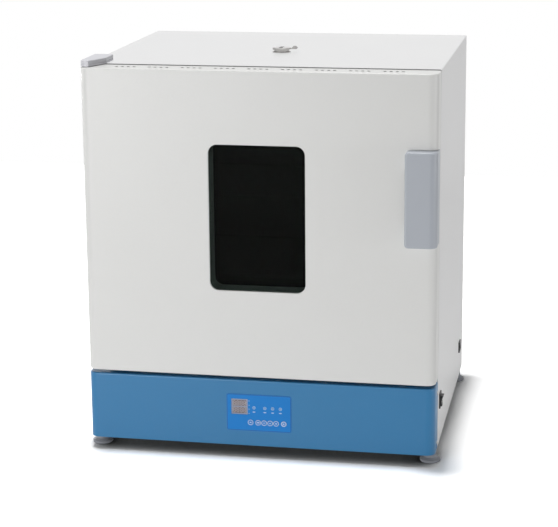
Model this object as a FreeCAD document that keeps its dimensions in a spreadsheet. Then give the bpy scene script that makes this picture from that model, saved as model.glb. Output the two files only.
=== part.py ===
"""Forced air oven: a bench cabinet with a side-hung door, a fan behind a baffle and a control fascia below.

Millimetres, +Z up, +X to the right of someone facing the door, +Y towards the back.
The origin is on the floor, under the middle of the cabinet.
"""
import FreeCAD, Part
import math
import os
import re
import Sketcher

Vector = FreeCAD.Vector

# name, value in mm (degrees and counts say so), what it is
SIZES = [
    ("case_width", 700, "cabinet and door, over the side panels"),
    ("case_height", 755, "underside of the fascia to the top panel"),
    ("case_depth", 600, "door front to back panel"),
    ("foot_height", 25, "floor to the underside of the cabinet"),
    ("sheet", 1.2, "steel sheet of cabinet, door and chamber"),
    ("fold", 3, "outside radius of a folded edge"),
    ("lip", 16, "front return of the side and top panels"),
    ("seat", 0.3, "gap between two pieces that seat on each other"),
    ("door_thickness", 52, "door and fascia, front to back"),
    ("door_gap", 3, "door back to cabinet front, filled by the gasket"),
    ("corner", 18, "plan radius of the door's and fascia's front corners"),
    ("edge_round", 3, "radius of the door's and fascia's other front edges"),
    ("top_gap", 1.5, "door top below the top panel"),
    ("fascia_height", 136, "blue control fascia"),
    ("fascia_gap", 6, "fascia to door"),
    ("window_side", 254.5, "window in from each side of the door"),
    ("window_above", 144.5, "window below the door's top"),
    ("window_below", 176, "window above the door's bottom"),
    ("window_width", "=case_width - 2 * window_side", "window in the door skin"),
    ("window_height", "=case_height - fascia_height - fascia_gap - top_gap - window_above - window_below",
     "window in the door skin"),
    ("window_centre", "=fascia_height + fascia_gap + window_below + window_height / 2",
     "window centre above the fascia's underside"),
    ("window_corner", 18, "window corner radius"),
    ("window_lip", 5, "depth of the skin's turned-in edge round the window"),
    ("glass", 4, "each pane of the double window"),
    ("glass_lap", 12, "pane beyond the window on each side"),
    ("glass_corner", 6, "pane corner radius"),
    ("tunnel_wall", 1.5, "frame between the two panes"),
    ("mouth_sheet", 1.5, "stainless frame round the chamber's mouth"),
    ("side_insulation", 70, "case side to the inside of the chamber"),
    ("floor_insulation", 50, "door bottom level to chamber floor"),
    ("top_insulation", 60, "chamber ceiling to top panel"),
    ("rear_insulation", 45, "behind the chamber"),
    ("motor_bay", 37.3, "insulation to back panel"),
    ("chamber_width", "=case_width - 2 * side_insulation", "inside"),
    ("chamber_height", "=case_height - fascia_height - fascia_gap - floor_insulation - top_insulation",
     "inside"),
    ("front_depth", "=door_thickness + door_gap + mouth_sheet", "door front to the chamber"),
    ("chamber_depth", "=case_depth - front_depth - sheet - rear_insulation - motor_bay",
     "inside, with the fan space behind the baffle"),
    ("chamber_corner", 12, "inside radius of the chamber's corners"),
    ("chamber_flange", 12, "flange round the chamber's mouth"),
    ("plenum", 60, "baffle front to the chamber's rear wall"),
    ("baffle_return", 15, "folded edge of the baffle"),
    ("plug_depth", 8, "door inner panel's step into the chamber mouth"),
    ("plug_gap", 12, "step to the chamber's wall"),
    ("gasket_width", 12, "silicone gasket on the door"),
    ("gasket_offset", 14, "gasket outside the chamber's mouth"),
    ("hinge_inset", 10, "hinge axis in from the door's left edge"),
    ("hinge_setback", 20, "hinge axis in front of the door's back"),
    ("pin_radius", 4, "hinge pin"),
    ("running", 0.05, "radial clearance of a pin or shaft in its bush"),
    ("pin_reach", 24, "hinge pin inside the door"),
    ("bracket", 3, "hinge bracket plate"),
    ("bracket_width", 30, "hinge bracket, left to right"),
    ("bush_half", 8.2, "half of the square hinge bush"),
    ("cap_width", 40, "hinge cap, left to right"),
    ("cap_tip", 18, "hinge cap's front, left to right"),
    ("cap_front", 5, "hinge cap behind the door's front"),
    ("cap_length", 105, "hinge cap, front to back"),
    ("cap_height", 11.5, "hinge cap above the top panel"),
    ("cap_foot", 3.5, "hinge cap below its groove"),
    ("cap_wall", 3, "hinge cap wall"),
    ("handle_width", 62, "door handle across the door"),
    ("handle_height", 186, "door handle"),
    ("handle_centre", 515, "handle centre above the fascia's underside"),
    ("handle_proud", 24, "handle in front of the door"),
    ("handle_side", 2, "handle beyond the door's right side"),
    ("handle_wrap", 24, "handle back along the door's right side"),
    ("handle_round", 7, "handle corner radius, seen from the front"),
    ("handle_wall", 6, "handle in front of the finger gap"),
    ("grip_height", 110, "finger gap"),
    ("grip_depth", 44, "finger gap in from the handle's left side"),
    ("slot_length", 6, "vent slot in the door's top edge, left to right"),
    ("slot_width", 8, "vent slot in the door's top edge, front to back"),
    ("slot_pitch", 11.7, "slot to slot in a group"),
    ("slot_group_pitch", 65.8, "group to group"),
    ("slot_groups", 9, "count"),
    ("vent_y", -29, "exhaust vent on the top panel, from the middle"),
    ("tube_radius", 14, "exhaust tube, outside"),
    ("tube_wall", 1, "exhaust tube"),
    ("collar_radius", 15.5, "chromed collar round the exhaust tube"),
    ("collar_height", 5, "collar above the top panel"),
    ("vent_cap_radius", 19, "turning cap of the vent"),
    ("vent_cap_height", 4.5, "turning cap of the vent"),
    ("lever_reach", 34, "vent lever from the cap's centre"),
    ("lever_rise", 3, "vent lever above the cap"),
    ("overlay_width", 131, "keypad overlay"),
    ("overlay_height", 76, "keypad overlay"),
    ("overlay_centre", 69, "keypad overlay above the fascia's underside"),
    ("overlay_thick", 0.8, "keypad overlay"),
    ("overlay_corner", 4, "keypad overlay corner radius"),
    ("display_x", -39.2, "display centre from the cabinet's middle"),
    ("display_rise", 80.75, "display centre above the fascia's underside"),
    ("display_width", 32.8, "display lens"),
    ("display_height", 31.5, "display lens"),
    ("digit_height", 13.6, "height of a row of four digits"),
    ("digit_gap", 1.4, "between the two digit rows and round them"),
    ("key_radius", 5.5, "key"),
    ("key_gap", 0.25, "key to overlay, all round"),
    ("key_proud", 0.7, "key in front of the overlay"),
    ("key_rise", 49, "key centres above the fascia's underside"),
    ("key_stem", 1.7, "key stem radius"),
    ("led_rise", 79.5, "indicator centres above the fascia's underside"),
    ("led_radius", 1.5, "indicator"),
    ("board_gap", 8, "fascia sheet to control board"),
    ("board", 1.6, "printed circuit board"),
    ("switch_back", 93, "rocker switch centre behind the door's front"),
    ("switch_rise", 86, "rocker switch centre above the fascia's underside"),
    ("switch_width", 25, "switch bezel, front to back"),
    ("switch_height", 32, "switch bezel"),
    ("switch_bezel", 2.4, "switch bezel thickness"),
    ("rocker_tilt", 7, "degrees, each way from level"),
    ("inlet_rear", 80, "power inlet centre in front of the back panel"),
    ("inlet_rise", 69, "power inlet centre above the fascia's underside"),
    ("inlet_width", 31, "inlet flange, front to back"),
    ("inlet_height", 24, "inlet flange"),
    ("foot_radius", 20.5, "foot at the floor"),
    ("foot_top_radius", 12, "foot under the cabinet"),
    ("foot_inset", 13, "foot centre from the cabinet's side"),
    ("foot_front", 45, "foot centre behind the door's front"),
    ("foot_rear", 30, "foot centre in front of the back panel"),
    ("fan_radius", 85, "impeller"),
    ("fan_width", 34, "impeller blades, front to back"),
    ("blade_count", 12, "count"),
    ("shaft_radius", 4, "fan shaft"),
    ("motor_radius", 42, "fan motor"),
    ("motor_length", 50, "fan motor"),
    ("cover_half", 100, "half of the square motor cover"),
    ("cover_proud", 24, "motor cover behind the back panel"),
    ("heater_ring", 108, "radius of the heater's ring round the fan"),
    ("heater_radius", 4, "heater tube"),
    ("heater_bend", 14, "bend radius between the heater's ring and its legs"),
    ("rack_inset", 12, "shelf rack behind the chamber's mouth"),
    ("rack_clear", 28, "shelf rack in front of the baffle"),
    ("rack_margin", 30, "shelf rack to the chamber's floor and ceiling"),
    ("rack_width", "=chamber_depth - plenum - rack_inset - rack_clear", "shelf rack, front to back"),
    ("rack_height", "=chamber_height - 2 * rack_margin", "shelf rack"),
    ("rack_off", 9, "shelf rack off the chamber's side"),
    ("ledge", 12, "shelf rack ledge"),
    ("ledge_count", 5, "count"),
    ("ledge_pitch", "=(rack_height - 40) / ledge_count", "ledge to ledge"),
    ("shelf_back", 18, "shelf behind the front of its rack"),
    ("shelf_depth", "=rack_width - shelf_back - 2", "shelf, front to back"),
    ("shelf_rod", 3, "radius of the shelf's frame rod"),
    ("shelf_wire", 1.5, "radius of the shelf's wires"),
    ("wire_count", 17, "count"),
    ("probe_radius", 2.5, "temperature probe"),
    ("pan_height", 22, "base pan's turned-up edge"),
    ("stud_radius", 4, "foot stud"),
    ("air_slots", 25, "count"),
    ("air_slot_pitch", 18, "back panel air slots"),
    ("magnet_radius", 7, "catch magnet"),
    ("magnet_length", 14, "catch magnet housing"),
    ("heater_leg", 24, "half the space between the heater's legs"),
    ("probe_x", 120, "temperature probe to the right of the middle"),
    ("probe_drop", 60, "probe below the chamber's ceiling"),
    ("baffle_slot", 6, "width of a baffle slot"),
    ("baffle_slots", 13, "count"),
    ("intake_slots", 9, "count"),
    ("intake_pitch", 14, "intake slot to slot"),
    ("intake_height", 110, "intake slot"),
    ("fan_plate", 1.5, "impeller sheet"),
    ("fan_clear", 12, "impeller behind the baffle"),
    ("cover_round", 10, "motor cover corner radius"),
    ("cover_edge", 4, "motor cover rear edge radius"),
    ("cover_slots", 9, "count"),
    ("cover_pitch", 18, "motor cover slots"),
    ("pivot_radius", 2, "vent cap pivot"),
    ("port_radius", 4.5, "vent port"),
    ("port_offset", 8, "vent port from the pivot"),
    ("lever_sheet", 2.4, "vent lever, a strip on edge"),
    ("cap_round", 12, "hinge cap's front corner radius"),
    ("cap_edge", 1.6, "hinge cap's upper edges"),
    ("handle_corner", 15, "handle's right front edge radius, in plan"),
    ("handle_edge", 3.5, "handle's other front edges"),
    ("screw_radius", 2, "M4 screw"),
    ("screw_head", 1.6, "screw head height"),
    ("screw_front", 42, "fascia side screws behind the door's front"),
    ("screw_low", 13, "lower fascia screw above the fascia's underside"),
    ("screw_drop", 20, "upper fascia screw below the fascia's top"),
    ("key_first", -16.9, "first key from the middle"),
    ("key_step", 15.4, "first key to second, and fifth to sixth"),
    ("key_pitch", 12.1, "second key to fifth, key to key"),
    ("key_travel", 0.5, "key"),
    ("tact_height", 4, "switch housing on the board"),
    ("led_first", -9.9, "first indicator from the middle"),
    ("led_second", 12.3, "second indicator from the middle"),
    ("led_pitch", 15.65, "second indicator to the next"),
    ("switch_depth", 26, "switch housing behind the case"),
    ("rocker_width", 18, "rocker, front to back"),
    ("rocker_height", 21.5, "rocker"),
    ("rocker_nose", 7.5, "rocker's ends from its pivot"),
    ("rocker_pivot", 1.5, "rocker pivot radius"),
    ("pivot_reach", 1, "rocker pivot beyond its side"),
    ("inlet_flange", 2.5, "inlet flange"),
    ("inlet_depth", 24, "inlet body behind the case"),
]

doc = FreeCAD.newDocument("ForcedAirOven")
sheet_cells = doc.addObject("Spreadsheet::Sheet", "Sizes")
for row, (name, value, note) in enumerate(SIZES, 1):
    sheet_cells.set(f"A{row}", name)
    sheet_cells.set(f"B{row}", str(value))
    sheet_cells.set(f"C{row}", note)
    sheet_cells.setAlias(f"B{row}", name)
doc.recompute()
ALIASES = {name for name, _, _ in SIZES}

# Levels and planes that several pieces share, as expressions on the sheet's names.
half_width = "(case_width / 2)"
top_z = "(foot_height + case_height)"
front_y = "(-case_depth / 2)"
back_y = "(case_depth / 2)"
door_back = f"({front_y} + door_thickness)"
case_front = f"({door_back} + door_gap)"
fascia_top = "(foot_height + fascia_height)"
door_low = f"({fascia_top} + fascia_gap)"
door_top = f"({top_z} - top_gap)"
inside_x = f"({half_width} - sheet - seat)"
inside_back = f"({back_y} - sheet - seat)"
deck_top = f"({fascia_top} + 2 * sheet)"
chamber_low = f"({door_low} + floor_insulation)"
chamber_high = f"({chamber_low} + chamber_height)"
chamber_front = f"({case_front} + mouth_sheet)"
chamber_back = f"({chamber_front} + chamber_depth)"
baffle_front = f"({chamber_back} - plenum)"
fan_z = f"({chamber_low} + chamber_height / 2)"
insulation_back = f"({chamber_back} + sheet + rear_insulation)"
window_z = "(foot_height + window_centre)"
pin_x = f"(hinge_inset - {half_width})"
pin_y = f"({door_back} - hinge_setback)"
handle_z = "(foot_height + handle_centre)"
handle_right = f"({half_width} + handle_side)"
glass_front = f"({front_y} + window_lip + seat)"
tunnel_front = f"({glass_front} + glass + seat)"
inner_glass_back = f"({door_back} - sheet - seat)"
tunnel_back = f"({inner_glass_back} - glass - seat)"
board_front = f"({front_y} + sheet + board_gap)"
overlay_z = "(foot_height + overlay_centre)"
display_z = "(foot_height + display_rise)"
key_z = "(foot_height + key_rise)"
led_z = "(foot_height + led_rise)"
upper_screw_z = f"({fascia_top} - screw_drop)"
screw_y = f"({front_y} + screw_front)"
fascia_screw_places = [(screw_y, "(foot_height + screw_low)"), (screw_y, upper_screw_z)]
foot_x = f"({half_width} - foot_inset)"
foot_front_y = f"({front_y} + foot_front)"
foot_rear_y = f"({back_y} - foot_rear)"
foot_places = [(f"{side}{foot_x}", y) for side in ("-", "") for y in (foot_front_y, foot_rear_y)]
magnet_x = f"({half_width} - lip - 14)"
probe_z = f"({chamber_high} - probe_drop)"
fan_front = f"({baffle_front} + fan_clear)"
heater_y = f"({fan_front} + fan_width / 2)"
heater_elbow = "sqrt(heater_ring ^ 2 + heater_bend ^ 2)"
heater_half_angle = f"(asin(heater_leg / {heater_elbow}) + atan(heater_bend / heater_ring))"
heater_drop = f"(heater_ring * cos({heater_half_angle}) + heater_bend * sin({heater_half_angle}))"
heater_leg_z = f"({fan_z} - {heater_drop})"
motor_front = f"({insulation_back} + seat + 2)"
motor_opening = "(2 * cover_half - 40)"
rack_front = f"({chamber_front} + rack_inset)"
rack_back = f"({rack_front} + rack_width)"
rack_middle = f"({rack_front} + rack_width / 2)"
key_places = [f"(key_first + {steps} * key_step + {pitches} * key_pitch)"
              for steps, pitches in ((0, 0), (1, 0), (1, 1), (1, 2), (1, 3), (2, 3))]
led_places = ["led_first"] + [f"(led_second + {i} * led_pitch)" for i in range(3)]
KEY_NAMES = ["set_key", "shift_key", "down_key", "up_key", "timer_key", "start_key"]
switch_y = f"({front_y} + switch_back)"
switch_z = "(foot_height + switch_rise)"
switch_body_width = "(rocker_width + 2 * seat + 2.8)"
switch_body_height = "(switch_height - 5)"
rocker_well = "(rocker_height + 2.6)"
rocker_x = f"({half_width} + switch_bezel - 3)"
inlet_y = f"({back_y} - inlet_rear)"
inlet_z = "(foot_height + inlet_rise)"
inlet_body_width = "(inlet_width - 4)"
inlet_body_height = "(inlet_height - 4)"


def bound(text):
    """An expression on the sheet, from one written with its plain names."""
    return re.sub(r"[A-Za-z_]+", lambda m: f"Sizes.{m[0]}" if m[0] in ALIASES else m[0], str(text))


def number(text):
    """The present value of an expression."""
    return float(sheet_cells.evalExpression(bound(text)))


PLANES = {"XY": 1, "XZ": -1, "YZ": 1}  # which way each plane's normal points along the third axis
AXES = {"X": Vector(1, 0, 0), "Y": Vector(0, 1, 0), "Z": Vector(0, 0, 1)}
nodes = []


def new_body(label):
    """An empty body that is one node of the model."""
    body = doc.addObject("PartDesign::Body", label)
    body.Label = label
    body.AllowCompound = True
    nodes.append(body)
    return body


def origin_part(body, role):
    return [part for part in body.Origin.OriginFeatures if part.Role == role][0]


def bind(item, field, text):
    item.setExpression(field, bound(text))


def sketch(body, plane, at):
    """A sketch on the body's own origin plane, moved along the plane's axis."""
    item = body.newObject("Sketcher::SketchObject", f"{body.Name}_sketch")
    item.AttachmentSupport = (origin_part(body, f"{plane}_Plane"), [""])
    item.MapMode = "FlatFace"
    item.AttachmentOffset = FreeCAD.Placement(Vector(0, 0, PLANES[plane] * number(at)), FreeCAD.Rotation())
    bind(item, "AttachmentOffset.Base.z", f"{PLANES[plane]} * ({at})")
    return item


def pin_point(item, geometry, corner, x, y):
    """Holds a point of a sketch at expressions in the sketch's two axes."""
    for kind, text in (("DistanceX", x), ("DistanceY", y)):
        where = item.addConstraint(Sketcher.Constraint(kind, -1, 1, geometry, corner, number(text)))
        bind(item, f"Constraints[{where}]", text)


def towards(here, there, distance):
    """The point a distance along a horizontal or vertical edge from one corner to the next."""
    dx, dy = number(there[0]) - number(here[0]), number(there[1]) - number(here[1])
    if abs(dx) > abs(dy):
        return f"({here[0]}) {'+' if dx > 0 else '-'} ({distance})", here[1]
    return here[0], f"({here[1]}) {'+' if dy > 0 else '-'} ({distance})"


def chain(points):
    """A closed outline; a corner given with a third value, its radius, is rounded between square edges."""
    def draw(item):
        count = len(points)
        starts, ends, radii = [], [], []
        for i, point in enumerate(points):
            before, after = points[i - 1], points[(i + 1) % count]
            radius = point[2] if len(point) > 2 else None
            radii.append(radius)
            ends.append(towards(point, before, radius) if radius else point[:2])
            starts.append(towards(point, after, radius) if radius else point[:2])
        lines = []
        for i in range(count):
            start, end = starts[i], ends[(i + 1) % count]
            spots = [Vector(number(x), number(y), 0) for x, y in (start, end)]
            line = item.addGeometry(Part.LineSegment(*spots), False)
            pin_point(item, line, 1, *start)
            if radii[(i + 1) % count]:
                pin_point(item, line, 2, *end)
            lines.append(line)
        for i in range(count):
            if not radii[i]:
                item.addConstraint(Sketcher.Constraint("Coincident", lines[i - 1], 2, lines[i], 1))
                continue
            first, last = item.getPoint(lines[i - 1], 2), item.getPoint(lines[i], 1)
            corner = Vector(number(points[i][0]), number(points[i][1]), 0)
            centre = first + last - corner
            middle = centre + (corner - centre).normalize() * number(radii[i])
            arc = item.addGeometry(Part.Arc(first, middle, last), False)
            turn = (first - centre).cross(last - centre).z
            begin, finish = (1, 2) if turn > 0 else (2, 1)
            item.addConstraint(Sketcher.Constraint("Coincident", lines[i - 1], 2, arc, begin))
            item.addConstraint(Sketcher.Constraint("Coincident", lines[i], 1, arc, finish))
            where = item.addConstraint(Sketcher.Constraint("Radius", arc, number(radii[i])))
            bind(item, f"Constraints[{where}]", radii[i])
    return draw


def rectangle(x0, x1, y0, y1, radius=None, rounded="all"):
    """A rectangle with all its corners rounded, or only those at its low, high, left or right side."""
    sides = {"all": (1, 1, 1, 1), "low": (1, 1, 0, 0), "high": (0, 0, 1, 1), "left": (1, 0, 0, 1)}[rounded]
    corners = [(x0, y0), (x1, y0), (x1, y1), (x0, y1)]
    return chain([(*spot, radius) if radius and side else spot for spot, side in zip(corners, sides)])


def centred(x, y, width, height, radius=None):
    """A rectangle about a centre."""
    across = (f"{x} - {width} / 2", f"{x} + {width} / 2")
    along = (f"{y} - {height} / 2", f"{y} + {height} / 2")
    return rectangle(*across, *along, radius)


def circle(x, y, radius):
    def draw(item):
        centre = Vector(number(x), number(y), 0)
        ring = item.addGeometry(Part.Circle(centre, Vector(0, 0, 1), number(radius)), False)
        pin_point(item, ring, 3, x, y)
        where = item.addConstraint(Sketcher.Constraint("Radius", ring, number(radius)))
        bind(item, f"Constraints[{where}]", radius)
    return draw


def pad(body, plane, start, end, *outlines):
    """Material between two levels on the plane's axis."""
    profile = sketch(body, plane, start)
    for draw in outlines:
        draw(profile)
    feature = body.newObject("PartDesign::Pad", f"{body.Name}_pad")
    feature.Profile = profile
    feature.Reversed = PLANES[plane] < 0
    bind(feature, "Length", f"({end}) - ({start})")
    return feature


def pocket(body, plane, start, end, *outlines):
    """A cut between two levels on the plane's axis."""
    profile = sketch(body, plane, start)
    for draw in outlines:
        draw(profile)
    feature = body.newObject("PartDesign::Pocket", f"{body.Name}_pocket")
    feature.Profile = profile
    feature.Reversed = PLANES[plane] > 0
    bind(feature, "Length", f"({end}) - ({start})")
    return feature


def revolve(body, kind, plane, axis, at, points):
    """A Revolution or Groove of an outline about an axis of its sketch, which is moved to the axis."""
    profile = sketch(body, plane, at)
    chain(points)(profile)
    feature = body.newObject(f"PartDesign::{kind}", f"{body.Name}_{kind.lower()}")
    feature.Profile = profile
    feature.ReferenceAxis = (profile, [axis])
    feature.Angle = 360
    return feature


def place(body, x, y, z):
    """Moves a piece that is drawn about its own axis to where it sits."""
    for field, text in (("x", x), ("y", y), ("z", z)):
        bind(body, f"Placement.Base.{field}", text)


def set_row(pattern, body, axis, pitch, count):
    pattern.Direction = (origin_part(body, f"{axis}_Axis"), [""])
    pattern.Mode = "Spacing"
    bind(pattern, "Offset", pitch)
    bind(pattern, "Occurrences", count)


def row(body, feature, axis, pitch, count):
    """Repeats a feature along an axis."""
    pattern = body.newObject("PartDesign::LinearPattern", f"{body.Name}_row")
    pattern.Originals = [feature]
    set_row(pattern, body, axis, pitch, count)
    body.Tip = pattern
    return pattern


def grid(body, feature, across, along):
    """Repeats a feature at the other three corners of a rectangle in plan."""
    pattern = body.newObject("PartDesign::MultiTransform", f"{body.Name}_grid")
    pattern.Originals = [feature]
    steps = [body.newObject("PartDesign::LinearPattern", f"{body.Name}_{axis}") for axis in "XY"]
    for step, axis, pitch in zip(steps, "XY", (across, along)):
        set_row(step, body, axis, pitch, "2")
    pattern.Transformations = steps
    body.Tip = pattern
    return pattern


def ring(body, feature, axis, count):
    """Repeats a feature round one of the body's axes."""
    pattern = body.newObject("PartDesign::PolarPattern", f"{body.Name}_ring")
    pattern.Originals = [feature]
    pattern.Axis = (origin_part(body, f"{axis}_Axis"), [""])
    pattern.Angle = 360
    bind(pattern, "Occurrences", count)
    body.Tip = pattern
    return pattern


def edges_along(shape, axis, spots):
    """Names of the straight edges along an axis at given places in the other axes."""
    others = [name for name in "XYZ" if name != axis]
    places = [tuple(number(text) for text in spot) for spot in spots]
    names = []
    for index, edge in enumerate(shape.Edges, 1):
        if edge.Curve.TypeId != "Part::GeomLine":
            continue
        if edge.tangentAt(edge.FirstParameter).cross(AXES[axis]).Length > 1e-6:
            continue
        middle = edge.valueAt((edge.FirstParameter + edge.LastParameter) / 2)
        here = tuple(getattr(middle, name.lower()) for name in others)
        if any(math.dist(here, spot) < 0.05 for spot in places):
            names.append(f"Edge{index}")
    return names


def edges_at(shape, level):
    """Names of the edges that lie wholly at one height."""
    return [f"Edge{index}" for index, edge in enumerate(shape.Edges, 1)
            if abs(edge.BoundBox.ZMin - level) + abs(edge.BoundBox.ZMax - level) < 1e-4]


def fillet(body, radius, choose):
    """A Fillet on the edges of the body so far that a function names."""
    doc.recompute()
    base = body.Tip
    feature = body.newObject("PartDesign::Fillet", f"{body.Name}_fillet")
    feature.Base = (base, choose(base.Shape))
    bind(feature, "Radius", radius)
    return feature


def fillet_along(body, radius, axis, spots):
    """A Fillet on the straight edges along an axis at given places in the other axes."""
    return fillet(body, radius, lambda shape: edges_along(shape, axis, spots))


# The cabinet

def outer_case():
    """One wrapped sheet: both sides and the top, with a return round the front above the base pan."""
    body = new_body("outer_case")
    pad(body, "XZ", case_front, back_y,
        rectangle(f"-{half_width}", half_width, "foot_height", top_z, "fold", "high"))
    inner = f"({half_width} - sheet)"
    pocket(body, "XZ", f"{case_front} + sheet", back_y,
           rectangle(f"-{inner}", inner, "foot_height - 1", f"{top_z} - sheet", "fold - sheet", "high"))
    lip_x = f"({half_width} - lip)"
    pan_top = "(foot_height + pan_height + 1)"
    pocket(body, "XZ", case_front, f"{case_front} + sheet",
           chain([(f"-{inner}", "foot_height - 1"), (inner, "foot_height - 1"), (inner, pan_top),
                  (lip_x, pan_top), (lip_x, f"{top_z} - lip"), (f"-{lip_x}", f"{top_z} - lip"),
                  (f"-{lip_x}", pan_top), (f"-{inner}", pan_top)]))
    pocket(body, "XY", f"{top_z} - sheet", top_z, circle("0", "vent_y", "tube_radius + seat"))
    for y, z, wide, tall in ((switch_y, switch_z, switch_body_width, switch_body_height),
                             (inlet_y, inlet_z, inlet_body_width, inlet_body_height)):
        pocket(body, "YZ", inner, half_width, centred(y, z, f"({wide} + 2 * seat)", f"({tall} + 2 * seat)"))
    return body


def back_panel():
    """Flat panel inside the wrap, open behind the motor, with rows of air slots for the lower bay."""
    body = new_body("back_panel")
    low = "(foot_height + pan_height + seat)"
    pad(body, "XZ", f"{back_y} - sheet", back_y,
        rectangle(f"-{inside_x}", inside_x, low, f"{top_z} - sheet - seat", "fold - sheet", "high"))
    pocket(body, "XZ", f"{back_y} - sheet", back_y, centred("0", fan_z, motor_opening, motor_opening))
    first = pocket(body, "XZ", f"{back_y} - sheet", back_y,
                   centred("(-air_slot_pitch * (air_slots - 1) / 2)", f"({low} + 40)", "5", "50"))
    row(body, first, "X", "air_slot_pitch", "air_slots")
    return body


def base_pan():
    """Floor of the cabinet and the fascia, turned up all round."""
    body = new_body("base_pan")
    front = f"({front_y} + sheet + seat)"
    pad(body, "XY", "foot_height", "foot_height + pan_height",
        rectangle(f"-{inside_x}", inside_x, front, back_y, "corner - sheet - seat", "low"))
    wall_x = f"({inside_x} - sheet)"
    pocket(body, "XY", "foot_height + sheet", "foot_height + pan_height",
           rectangle(f"-{wall_x}", wall_x, f"{front} + sheet", f"{back_y} - sheet",
                     "corner - 2 * sheet - seat", "low"))
    pocket(body, "XY", "foot_height", "foot_height + sheet",
           *[circle(x, y, "stud_radius + seat") for x, y in foot_places])
    pocket(body, "YZ", f"-{half_width}", half_width, circle(*fascia_screw_places[0], "screw_radius + seat"))
    return body


def compartment_deck():
    """Sheet between the lower bay and the insulated chamber above it."""
    body = new_body("compartment_deck")
    pad(body, "XY", f"{deck_top} - sheet", deck_top,
        rectangle(f"-{inside_x}", inside_x, f"{case_front} + sheet + seat", inside_back))
    return body


def mouth_frame():
    """Stainless frame round the chamber's mouth, level with the front return of the case."""
    body = new_body("mouth_frame")
    out_x = f"({half_width} - lip - seat)"
    half_mouth = "(chamber_width / 2)"
    pad(body, "XZ", case_front, chamber_front,
        rectangle(f"-{out_x}", out_x, f"{deck_top} + seat", f"{top_z} - lip - seat"))
    pocket(body, "XZ", case_front, chamber_front,
           rectangle(f"-{half_mouth}", half_mouth, chamber_low, chamber_high, "chamber_corner"),
           circle(magnet_x, handle_z, "magnet_radius + seat"))
    return body


def chamber():
    """Stainless liner: a deep box with rounded corners and a flange at its mouth."""
    body = new_body("chamber")
    half_in = "(chamber_width / 2)"
    half_out = "(chamber_width / 2 + sheet)"
    low, high = f"({chamber_low} - sheet)", f"({chamber_high} + sheet)"
    pad(body, "XZ", chamber_front, f"{chamber_back} + sheet",
        rectangle(f"-{half_out}", half_out, low, high, "chamber_corner + sheet"))
    pad(body, "XZ", chamber_front, f"{chamber_front} + sheet",
        rectangle(f"-({half_out} + chamber_flange)", f"{half_out} + chamber_flange",
                  f"{low} - chamber_flange", f"{high} + chamber_flange"))
    pocket(body, "XZ", chamber_front, chamber_back,
           rectangle(f"-{half_in}", half_in, chamber_low, chamber_high, "chamber_corner"))
    pocket(body, "XZ", chamber_back, f"{chamber_back} + sheet",
           circle("0", fan_z, "shaft_radius + 3"),
           circle("-heater_leg", heater_leg_z, "heater_radius + seat"),
           circle("heater_leg", heater_leg_z, "heater_radius + seat"),
           circle("probe_x", probe_z, "probe_radius + seat"))
    pocket(body, "XY", chamber_high, high, circle("0", "vent_y", "tube_radius + seat"))
    return body


def insulation():
    """Mineral wool packed between chamber and case, with ways through for tube, shaft, leads and probe."""
    body = new_body("insulation")
    front = f"({chamber_front} + sheet + seat)"
    pad(body, "XZ", front, insulation_back,
        rectangle(f"-{inside_x}", inside_x, f"{deck_top} + seat", f"{top_z} - sheet - seat", "fold", "high"))
    half_out = "(chamber_width / 2 + sheet + seat)"
    low, high = f"({chamber_low} - sheet - seat)", f"({chamber_high} + sheet + seat)"
    pocket(body, "XZ", front, f"{chamber_back} + sheet + seat",
           rectangle(f"-{half_out}", half_out, low, high, "chamber_corner + sheet + seat"))
    pocket(body, "XZ", f"{chamber_back} + sheet", insulation_back,
           circle("0", fan_z, "shaft_radius + 6"),
           circle("-heater_leg", heater_leg_z, "heater_radius + 2 * seat"),
           circle("heater_leg", heater_leg_z, "heater_radius + 2 * seat"),
           circle("probe_x", probe_z, "probe_radius + 2 * seat"))
    pocket(body, "XY", chamber_high, top_z, circle("0", "vent_y", "tube_radius + 2 * seat"))
    magnet_hole = circle(magnet_x, handle_z, "magnet_radius + 2 * seat")
    pocket(body, "XZ", front, f"{front} + magnet_length", magnet_hole)
    return body


def air_baffle():
    """Folded stainless plate in front of the fan: intake slots in the middle, outlet slots at both sides."""
    body = new_body("air_baffle")
    half_out = "(chamber_width / 2 - seat)"
    low, high = f"({chamber_low} + seat)", f"({chamber_high} - seat)"
    pad(body, "XZ", baffle_front, f"{baffle_front} + baffle_return",
        rectangle(f"-{half_out}", half_out, low, high, "chamber_corner"))
    pocket(body, "XZ", f"{baffle_front} + sheet", f"{baffle_front} + baffle_return",
           rectangle(f"-({half_out} - sheet)", f"{half_out} - sheet", f"{low} + sheet", f"{high} - sheet",
                     "chamber_corner - sheet"))
    slot = pocket(body, "XZ", baffle_front, f"{baffle_front} + sheet",
                  centred("-(chamber_width / 2 - 40)", f"({chamber_low} + 50)", "44", "baffle_slot"),
                  centred("(chamber_width / 2 - 40)", f"({chamber_low} + 50)", "44", "baffle_slot"))
    row(body, slot, "Z", "(chamber_height - 100) / (baffle_slots - 1)", "baffle_slots")
    first_x = "(-intake_pitch * (intake_slots - 1) / 2)"
    intake = pocket(body, "XZ", baffle_front, f"{baffle_front} + sheet",
                    centred(first_x, fan_z, "baffle_slot", "intake_height"))
    row(body, intake, "X", "intake_pitch", "intake_slots")
    pocket(body, "XZ", baffle_front, f"{baffle_front} + sheet",
           circle("probe_x", probe_z, "probe_radius + seat"))
    return body


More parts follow.
